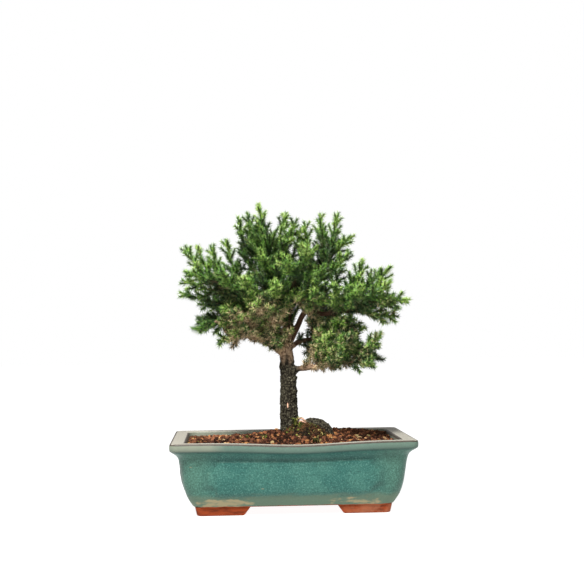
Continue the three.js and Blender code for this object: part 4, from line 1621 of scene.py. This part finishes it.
@dataclass
class Crown:
    """All the twigs and needled shoots of the tree, with gaps to see through from the front."""

    foot_pull: float = 0.2
    sag: float = 0.05
    finger_spacing: float = 4.2
    finger_length: float = 14.0
    finger_lean: float = math.radians(52)
    neighbours: int = 2
    draw_in: float = 0.27
    hub: Row = (0.0, 0.0, 205.0)
    back_from: float = 22.0
    gaps: tuple[tuple[float, float, float, float], ...] = (
        (15, 204.5, 3.5, 3.5), (21, 190, 4.5, 4), (71, 200, 9, 5), (79, 179, 5, 5), (-14, 298, 3.5, 3.5),
        (-64, 255, 4, 4), (4, 274, 3.5, 3.5), (36, 281, 4, 4), (50, 266, 3.5, 3.5), (38, 206, 13, 2.5),
        (-100, 214, 8, 4), (-89, 266, 4, 4), (-78, 270, 4, 4), (-93, 206, 6, 3.5), (-82, 181, 4, 4),
    )
    seed: int = 5
    twigs: list[Shoot] = field(default_factory=list)
    shoots: list[Shoot] = field(default_factory=list)

    def __post_init__(self) -> None:
        """Starts the random draws and the limbs' lines."""
        self.random = np.random.default_rng(self.seed)
        self.lines = {name: limb.line() for name, limb in LIMBS.items()}

    def add_finger(self, base: Shoot, share: float, turn: float, length: float, level: int) -> None:
        """Adds a side shoot, and a small one of its own where it is long.

        Args:
            base: The shoot that it leaves.
            share: Where, as a share of that shoot's length.
            turn: Its direction round that shoot.
            length: Its length.
            level: 1 on a main shoot, 2 on a side shoot.
        """
        root, aim = along(base.line, share), heading_at(base.line, share)
        across = unit(np.cross(aim, UP) + 1e-3)
        lean = self.finger_lean * self.random.uniform(0.8, 1.15)
        out = across * math.cos(turn) + np.cross(across, aim) * math.sin(turn)
        heading = unit(aim * math.cos(lean) + out * math.sin(lean) + UP * 0.1)
        bend = root + heading * length * 0.55
        tip = bend + unit(heading + aim * 0.3 + UP * 0.2) * length * 0.45
        dry = 0.3 * mixed(*base.dry, share) + self.dryness(tip) * self.random.uniform(0.1, 2.0)
        fresh = mixed(*base.fresh, share) * self.random.uniform(0.7, 1.4)
        ends = (fresh * 0.85, min(fresh * 1.1 + 0.1, 1.0))
        shoot = Shoot(bezier(root, bend, tip), base.limb, ends, (dry, dry * 0.5), self.reach(tip), (0.8, 0.45))
        if self.shuts_gap(shoot):
            return
        self.shoots.append(shoot)
        if level == 1 and length > 14:
            small = length * self.random.uniform(0.42, 0.55)
            self.add_finger(shoot, self.random.uniform(0.3, 0.5), self.random.uniform(0, 6.28), small, 2)

    def add_spray(self, spray: Spray, vigour_and_light: float, is_optional: bool) -> None:
        """Adds a twig with its main shoot and side shoots.

        Args:
            spray: Its place.
            vigour_and_light: How fresh its colour is, from 0 to 1, with painted light in it, higher at the front and
                top of the crown.
            is_optional: Whether it may be left out for the sake of a gap in the crown.
        """
        limb, tip = spray.limb, spray.tip
        root = along(self.lines[limb], spray.share)
        foot = mixed(spray.foot, root, self.foot_pull)
        middle = mixed(foot, tip, 0.5) - UP * self.sag * np.linalg.norm(tip - foot)
        twig = bezier(root, foot - unit(middle - foot) * 0.45 * np.linalg.norm(root - foot), foot)
        dry = (self.dryness(foot), self.dryness(tip) * 0.6)
        ends = (0.3 * vigour_and_light, 0.8 * vigour_and_light)
        inner = along(twig, np.linspace(0.3, 1, 8))
        # Painted shade: the inner part of each spray is kept dark.
        lower = Shoot(inner, limb, (0.0, 0.2 * vigour_and_light), (0.1 + dry[0], dry[0]), 0.85, (1.0, 1.0))
        upper = Shoot(bezier(foot, middle, tip), limb, ends, dry, self.reach(tip) * 1.06, (1.05, 0.55))
        if is_optional and (self.shuts_gap(lower) or self.shuts_gap(upper)):
            return
        self.twigs.append(Shoot(twig, limb, (0, 0), (1, 1), 0, (1.6, 1.1)))
        self.shoots += [lower, upper]
        turn = self.random.random() * 6
        for base, (low, high), taper in ((lower, (0.1, 0.9), (0.75, 1.1)), (upper, (0.02, 0.8), (1.1, 0.5))):
            count = max(2, int(round(length_of(base.line) / self.finger_spacing)))
            for share in np.linspace(low, high, count):
                turn += GOLDEN_ANGLE
                length = self.finger_length * mixed(*taper, share) * self.random.uniform(0.75, 1.2)
                self.add_finger(base, float(share), turn, length, 1)

    def between(self) -> list[Spray]:
        """Sprays between neighbouring ones, drawn in a little towards the middle of the crown.

        Returns:
            The sprays.
        """
        sprays = sprays_in(SPRAYS)
        tips = np.array([spray.tip for spray in sprays])
        pairs = set()
        for k, tip in enumerate(tips):
            nearest = np.argsort(np.linalg.norm(tips - tip, axis=1))[1 : self.neighbours + 1]
            pairs.update((min(k, int(j)), max(k, int(j))) for j in nearest)
        hub = np.array(self.hub)
        made = []
        for one, other in ((sprays[a], sprays[b]) for a, b in sorted(pairs)):
            tip = mixed(one.tip, other.tip, 0.5)
            draw_in = self.draw_in - 0.12 * smoothstep(tip[2], 250.0, 280.0) + 0.14 * smoothstep(tip[0], -50.0, -80.0)
            foot = mixed(mixed(one.foot, other.foot, 0.5), hub, draw_in * 0.6)
            line = self.lines[one.limb]
            nearest = int(np.argmin(np.linalg.norm(line - mixed(foot, hub, 0.35), axis=1)))
            share = max(float(shares_of(line)[nearest]), 0.3)
            made.append(Spray(one.limb, share, foot, mixed(tip, hub, draw_in)))
        return made

    def reach(self, point: np.ndarray) -> float:
        """How long the needles are at a place: short ones high in the crown."""
        return float(1.12 - 0.18 * smoothstep(point[2], 205.0, 245.0))

    def dryness(self, point: np.ndarray) -> float:
        """How dry the needles are at a place: most of them low in the left of the crown."""
        low = smoothstep(point[2], 236.0, 198.0) * (1 - 0.7 * smoothstep(point[0], 5.0, 50.0))
        return float(0.53 * low * smoothstep(point[0], -86.0, -48.0))

    def add_cover(self, limb: str, count: int, ends: Ends, length: float, age: float, lift: float) -> None:
        """Adds short shoots straight on a limb, old and mostly dry.

        Args:
            limb: The limb.
            count: How many.
            ends: The shares of its length between which they grow.
            length: Their mean length.
            age: How dry they are, from 0 to 1.
            lift: How much they turn upwards.
        """
        for share in np.linspace(*ends, count):
            root, aim = along(self.lines[limb], float(share)), heading_at(self.lines[limb], float(share))
            across = unit(np.cross(aim, UP))
            turn = self.random.random() * FULL_TURN
            out = across * math.cos(turn) + np.cross(across, aim) * math.sin(turn)
            heading = unit(aim * 0.6 + out + UP * lift)
            size = length * self.random.uniform(0.6, 1.4) * (1 + 0.4 * lift * out[2])
            line = bezier(root, root + heading * size * 0.5, root + unit(heading + UP * 0.2) * size)
            dry = age * self.random.uniform(0.5, 1.3)
            shoot = Shoot(line, limb, (0.0, 0.25), (dry, dry * 0.6), 0.85, (0.8, 0.4))
            if not self.shuts_gap(shoot):
                self.shoots.append(shoot)

    def shuts_gap(self, shoot: Shoot) -> bool:
        """Tells whether a shoot would grow across a gap seen through the crown from the front.

        Args:
            shoot: The shoot.

        Returns:
            True if it does, and isn't at the back.
        """
        if shoot.line[:, 1].mean() > self.back_from:
            return False
        eye = np.array(EYE)
        seen = eye + (shoot.line - eye) * (-eye[1] / (shoot.line[:, 1:2] - eye[1]))
        return any((np.hypot((seen[:, 0] - x) / a, (seen[:, 2] - z) / b) < 1).any() for x, z, a, b in self.gaps)

    def grow(self) -> None:
        """Grows every spray, then the ones between them, the limbs' cover and the single shoots."""
        sprays = sprays_in(SPRAYS, INNER_SPRAYS)
        outer = len(sprays_in(SPRAYS))
        for k, spray in enumerate((*sprays, *self.between())):
            # Painted light: sprays at the front and top of the crown lighter, those at the back darker.
            vigour_and_light = 0.92 - 0.003 * (spray.tip[1] + 30) + 0.004 * (spray.tip[2] - 230)
            vigour_and_light = min(max(vigour_and_light, 0.3), 1.2) * self.random.uniform(0.5, 1.15)
            # Painted shade: the sprays between the others are made four times darker, inside the crown.
            vigour_and_light *= (1.0 if k < len(sprays) else 0.25) * (0.95 if spray.limb.startswith("low") else 1.0)
            self.add_spray(spray, vigour_and_light, k >= outer)
        for row in COVER:
            self.add_cover(*row)
        for limb, fresh, dry, girth, group in SINGLE_SHOOTS:
            for bends in group:
                self.shoots.append(Shoot(bezier(*np.array(bends, float)), limb, fresh, dry, 1.05, girth))
        total = sum(length_of(shoot.line) for shoot in self.shoots)
        log.info("crown: %d shoots, %.1f m long in all, on %d twigs", len(self.shoots), total * MM, len(self.twigs))


def line_source(name: str, shoots: Sequence[Shoot]) -> Object:
    """A mesh of open lines, each from foot to tip, with the shoots' values on its points.

    Args:
        name: The object's name.
        shoots: The shoots to draw.

    Returns:
        The object.
    """
    edges = []
    start = 0
    for shoot in shoots:
        edges += [(start + i, start + i + 1) for i in range(len(shoot.line) - 1)]
        start += len(shoot.line)
    shares = [shares_of(shoot.line) for shoot in shoots]
    values = {
        key: np.concatenate([np.interp(s, (0, 1), getattr(shoot, key)) for s, shoot in zip(shares, shoots)])
        for key in ("fresh", "dry", "girth")
    }
    values["reach"] = np.concatenate([np.full(len(shoot.line), shoot.reach) for shoot in shoots])
    return mesh_object(name, np.vstack([shoot.line for shoot in shoots]), (), edges, values)


@dataclass
class Foliage:
    """The needles on every shoot, one piece for each limb."""

    crown: Crown
    spacing: float = 0.28
    needle_length: float = 5.5
    needle_radius: float = 0.6
    lean_foot: float = math.radians(64)
    lean_tip: float = math.radians(40)
    turn_wander: float = 0.35
    lean_wander: float = 0.14
    length_range: Ends = (0.74, 1.12)
    stem_radius: float = 1.0
    stem_step: float = 4.0
    seed: int = 3

    def growth(self, material: Material) -> Growth:
        """The tree that sets needles along lines and gives the lines a stem.

        Args:
            material: The needles' finish.

        Returns:
            The closed tree.
        """
        sizes = {
            "Needle spacing": self.spacing * MM,
            "Needle length": self.needle_length * MM,
            "Needle radius": self.needle_radius * MM,
            "Lean at foot": self.lean_foot,
            "Lean at tip": self.lean_tip,
            "Stem radius": self.stem_radius * MM,
            "Stem step": self.stem_step * MM,
            "Seed": self.seed,
        }
        growth = Growth("needle_growth", **sizes)
        size = growth.size
        cone = {"Vertices": 3, "Radius Top": 0.0, "Radius Bottom": size("Needle radius")}
        needle = growth.node("GeometryNodeMeshCone", None, {**cone, "Depth": size("Needle length")})
        height = growth.part(growth.node("GeometryNodeInputPosition"), "Z") / size("Needle length")
        needle = growth.keep(needle, "share", height)
        curves = growth.node("GeometryNodeMeshToCurve", None, {0: growth.source})
        tangent = growth.node("GeometryNodeInputTangent")
        rotation = growth.node("FunctionNodeAlignRotationToVector", {"axis": "Z"}, {"Vector": tangent})
        wander = growth.random(-self.turn_wander, self.turn_wander, size("Seed"))
        turn = growth.node("GeometryNodeInputIndex") * GOLDEN_ANGLE + wander
        rotation = growth.turned(rotation, (0.0, 0.0, 1.0), turn)
        share = growth.node("GeometryNodeSplineParameter")
        lean = size("Lean at foot") + (size("Lean at tip") - size("Lean at foot")) * share**3
        lean = lean + growth.random(-self.lean_wander, self.lean_wander, 21)
        rotation = growth.turned(rotation, (1.0, 0.0, 0.0), lean)
        scale = growth.kept("reach") * growth.random(*self.length_range, 33) * (1.04 - share**6 * 0.2)
        points = growth.resampled(curves, size("Needle spacing"))
        needles = growth.repeated(points, needle, rotation, scale, 12)
        stems = growth.swept(growth.resampled(curves, size("Stem step")), 3, size("Stem radius"))
        parts = [needles, growth.keep(stems, "stem", 1.0)]
        growth.close(growth.node("GeometryNodeJoinGeometry", None, {0: parts}), material)
        return growth

    def build(self, material: Material) -> None:
        """Makes one piece for each limb, in place of the frame's sprays on it.

        Args:
            material: The needles' finish.
        """
        growth = self.growth(material)
        for limb in SPRAYS:
            shoots = [shoot for shoot in self.crown.shoots if shoot.limb == limb]
            nodes = sorted(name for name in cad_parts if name.startswith("spray_") and name[9:] == limb)
            dressed(growth.apply(line_source("lines_" + limb, shoots), "foliage_" + limb), Slot.NEEDLES, None, nodes)


@dataclass
class Wood:
    """The trunk, limbs and roots as one body with its bark, and the twigs."""

    crown: Crown
    voxel: float = 1.0
    knob_size: float = 1.55
    knob_height: float = 0.9
    fibre_height: float = 0.55
    cell_half: float = 0.62
    lump_share: float = 5.0
    old_to: Ends = (147.0, 163.0)
    limb_step: float = 300.0
    trunk_sides: int = 20
    limb_sides: int = 12
    root_sides: int = 14
    twig_sides: int = 6
    twig_wander: float = 1.6

    def solid(self) -> Object:
        """Trunk, limbs and roots, melted together.

        Returns:
            The plain body.
        """
        shells = [
            tube(self.crown.lines[name], limb.radii, self.trunk_sides if name == "trunk" else self.limb_sides, 0.06, k)
            for k, (name, limb) in enumerate(LIMBS.items())
        ]
        for k, root in enumerate((ARCHED_ROOT, *BURIED_ROOTS)):
            shells.append(tube(root.line(), root.radii, self.root_sides, 0.1, 20 + k))
        collar = tube(COLLAR.line(), COLLAR.radii, self.limb_sides, 0.1, 40)
        wood = Shell.joined([*shells, collar]).made("wood_solid")
        melt = wood.modifiers.new("melt", "REMESH")
        melt.mode = "VOXEL"
        melt.voxel_size = self.voxel * MM
        melt.use_smooth_shade = True
        wood.modifiers.new("soften", "SMOOTH").iterations = 4
        return baked(wood, "wood_solid")

    def add_grain(self, wood: Object) -> None:
        """Stores, for each point, how old its bark is and a place measured along and across its limb.

        Args:
            wood: The body.
        """
        stations = []
        for k, line in enumerate([*self.crown.lines.values(), ARCHED_ROOT.line()]):
            line = along(line, np.linspace(0, 1, max(8, int(length_of(line) / 1.5))))
            lengths = shares_of(line) * length_of(line) + self.limb_step * k
            stations.append(np.column_stack([line, *sides_along(line), lengths]))
        table = np.vstack(stations)
        tree = KDTree(len(table))
        for k, station in enumerate(table):
            tree.insert(station[:3], k)
        tree.balance()
        places = points_of(wood)
        near = table[[tree.find(place)[1] for place in places]]
        off, across, upward, lengths = places - near[:, :3], near[:, 3:6], near[:, 6:9], near[:, 9]
        ahead = (off * np.cross(across, upward)).sum(1)
        grain = np.column_stack([(off * across).sum(1), (off * upward).sum(1), lengths + ahead])
        z = places[:, 2] + 3.5 * np.sin(places[:, 0] * 0.9 + 1) + 2.5 * np.sin(places[:, 1] * 1.1)
        old = smoothstep(z, self.old_to[1], self.old_to[0])
        collar = smoothstep(np.hypot(places[:, 0], places[:, 1]), 19.0, 11.0)
        old = np.where(lengths < self.limb_step - 10, old, old * collar)
        store(wood, {"grain": grain, "old": np.where(lengths > self.limb_step * len(LIMBS) - 1, 1.0, old)})

    def body(self, material: Material) -> Object:
        """The wood with knobs on its old bark and fibres on the young.

        Args:
            material: The bark.

        Returns:
            The wood.
        """
        wood = self.solid()
        self.add_grain(wood)
        heights = {"Knob height": self.knob_height * MM, "Fibre height": self.fibre_height * MM}
        growth = Growth("bark_relief", **{"Knob size": self.knob_size, **heights})
        grain = growth.kept("grain", "FLOAT_VECTOR")
        cell = {"Vector": grain, "Scale": 1 / growth.size("Knob size"), "Randomness": 0.75}
        knob = 1 - (growth.node("ShaderNodeTexVoronoi", None, cell) / self.cell_half) ** 2
        fibre = growth.noise(growth.vector("MULTIPLY", grain, (0.7, 0.7, 0.14)), 1.0)
        lump = growth.noise(grain, 1 / 0.11, 1.0)
        rough = (knob - 0.6 + (lump - 0.5) * self.lump_share) * growth.size("Knob height")
        soft = (fibre - 0.5) * 2.0 * growth.size("Fibre height")
        push = soft + (rough - soft) * growth.kept("old")
        growth.close(growth.raised(growth.keep(growth.source, "knob", knob), push), material)
        return dressed(growth.apply(wood, "bark_wood"), Slot.BARK, None, ["tree_wood"])

    def flake(self, material: Material) -> Object:
        """Strips of pale torn bark where the surface root leaves the trunk.

        Args:
            material: The bark.

        Returns:
            The strips.
        """
        strips = [tube(spline(s.points, 6), s.radii, 7, 0.5, k) for k, s in enumerate(TORN_STRIPS, 50)]
        shell = Shell.joined(strips)
        flake = shell.made("bark_flake", pale=np.ones(len(shell.points)), grain=shell.points)
        return dressed(flake, Slot.BARK, material)

    def twigs(self, material: Material) -> Object:
        """The twigs from the limbs out to the sprays.

        Args:
            material: The bark.

        Returns:
            The twigs.
        """
        sizes = {"Twig radius": MM, "Twig step": 2.0 * MM, "Sides": self.twig_sides}
        growth = Growth("twig_growth", **sizes)
        curves = growth.node("GeometryNodeMeshToCurve", None, {0: growth.source})
        rows = growth.resampled(curves, growth.size("Twig step"))
        wander = growth.noise(growth.node("GeometryNodeInputPosition"), 1 / 160.0).output(1)
        shift = growth.scaled(growth.vector("SUBTRACT", wander, (0.5, 0.5, 0.5)), self.twig_wander * MM)
        rows = growth.node("GeometryNodeSetPosition", None, {0: rows, "Offset": shift})
        growth.close(growth.swept(rows, growth.size("Sides"), growth.size("Twig radius")), material)
        return dressed(growth.apply(line_source("twig_lines", self.crown.twigs), "bark_twigs"), Slot.BARK)

    def build(self, material: Material) -> None:
        """Makes the wood, its torn bark and its twigs.

        Args:
            material: The bark.
        """
        self.body(material)
        self.flake(material)
        self.twigs(material)


# Studio


@dataclass
class Studio:
    """White floor, soft light and the camera at the photograph's angle."""

    heading: Ends = (0.0516, 0.9987)
    pitch: float = math.radians(1.75)
    roll: float = math.radians(0.79)
    focal_pixels: float = 1259.0
    frame_pixels: float = 584.0
    sensor: float = 36.0
    floor_half: float = 6000.0
    sky: float = 0.3
    target: Row = (0, 0, 170)
    lights: tuple[tuple[str, Row, float, float], ...] = (
        ("key_light", (-350, -900, 1250), 46.0, 420),
        ("fill_light", (900, -1200, 600), 3.0, 900),
    )

    def camera(self) -> None:
        """Makes the camera."""
        data = bpy.data.cameras.new("camera")
        data.sensor_width = self.sensor
        data.lens = self.focal_pixels / self.frame_pixels * self.sensor
        data.clip_start = 0.05
        data.clip_end = 50.0
        flat = math.cos(self.pitch)
        forward = Vector((self.heading[0] * flat, self.heading[1] * flat, math.sin(self.pitch))).normalized()
        right = forward.cross(Vector((0, 0, 1))).normalized()
        upward = right.cross(forward)
        across = right * math.cos(self.roll) - upward * math.sin(self.roll)
        upward = upward * math.cos(self.roll) + right * math.sin(self.roll)
        turn = Matrix((across, upward, -forward)).transposed().to_4x4()
        made = added("camera", data)
        made.matrix_world = Matrix.Translation(Vector(EYE) * MM) @ turn
        bpy.context.scene.camera = made

    def floor(self, material: Material) -> None:
        """Makes the floor.

        Args:
            material: Its finish.
        """
        half = self.floor_half
        corners = np.array([(-half, -half, 0), (half, -half, 0), (half, half, 0), (-half, half, 0)], float)
        made = mesh_object("floor", corners - [0, 0, 0.05], [(0, 1, 2, 3)])
        made.data.materials.append(material)

    def light(self, name: str, place: Row, power: float, size: float) -> None:
        """Makes one soft square light.

        Args:
            name: The light's name.
            place: Where it hangs.
            power: In watts.
            size: Its side.
        """
        data = bpy.data.lights.new(name, "AREA")
        data.energy = power
        data.size = size * MM
        made = added(name, data)
        made.location = Vector(place) * MM
        made.rotation_mode = "QUATERNION"
        made.rotation_quaternion = (Vector(self.target) - Vector(place)).to_track_quat("-Z", "Y")

    def surroundings(self) -> None:
        """Makes the world: dim for the object's light, and white where the camera sees it."""
        world = bpy.data.worlds.new("world")
        world.use_nodes = True
        world.node_tree.nodes.clear()
        graph = Graph(world.node_tree)
        strength = self.sky + graph.node("ShaderNodeLightPath") * (1 - self.sky)
        glow = graph.node("ShaderNodeBackground", None, {"Color": (1.0, 1.0, 1.0, 1.0), "Strength": strength})
        graph.node("ShaderNodeOutputWorld", None, {"Surface": glow})
        bpy.context.scene.world = world

    def build(self) -> None:
        """Makes everything round the object."""
        self.camera()
        self.floor(FloorFinish().make())
        self.surroundings()
        for row in self.lights:
            self.light(*row)
        bpy.context.scene.view_settings.view_transform = "Standard"


def main() -> None:
    """Builds the object's pieces in order, and the studio round them."""
    logging.basicConfig(level=logging.INFO, format="%(message)s")
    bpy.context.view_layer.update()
    Studio().build()
    pot = Pot()
    pot.finished(GlazeFinish().make())
    pot.dress_screens(ScreenFinish().make())
    Planting(pot).build(GranuleFinish().make(), MossFinish().make())
    crown = Crown()
    crown.grow()
    Wood(crown).build(BarkFinish().make())
    Foliage(crown).build(NeedleFinish().make())
    bpy.context.view_layer.update()


if __name__ == "__main__":
    main()
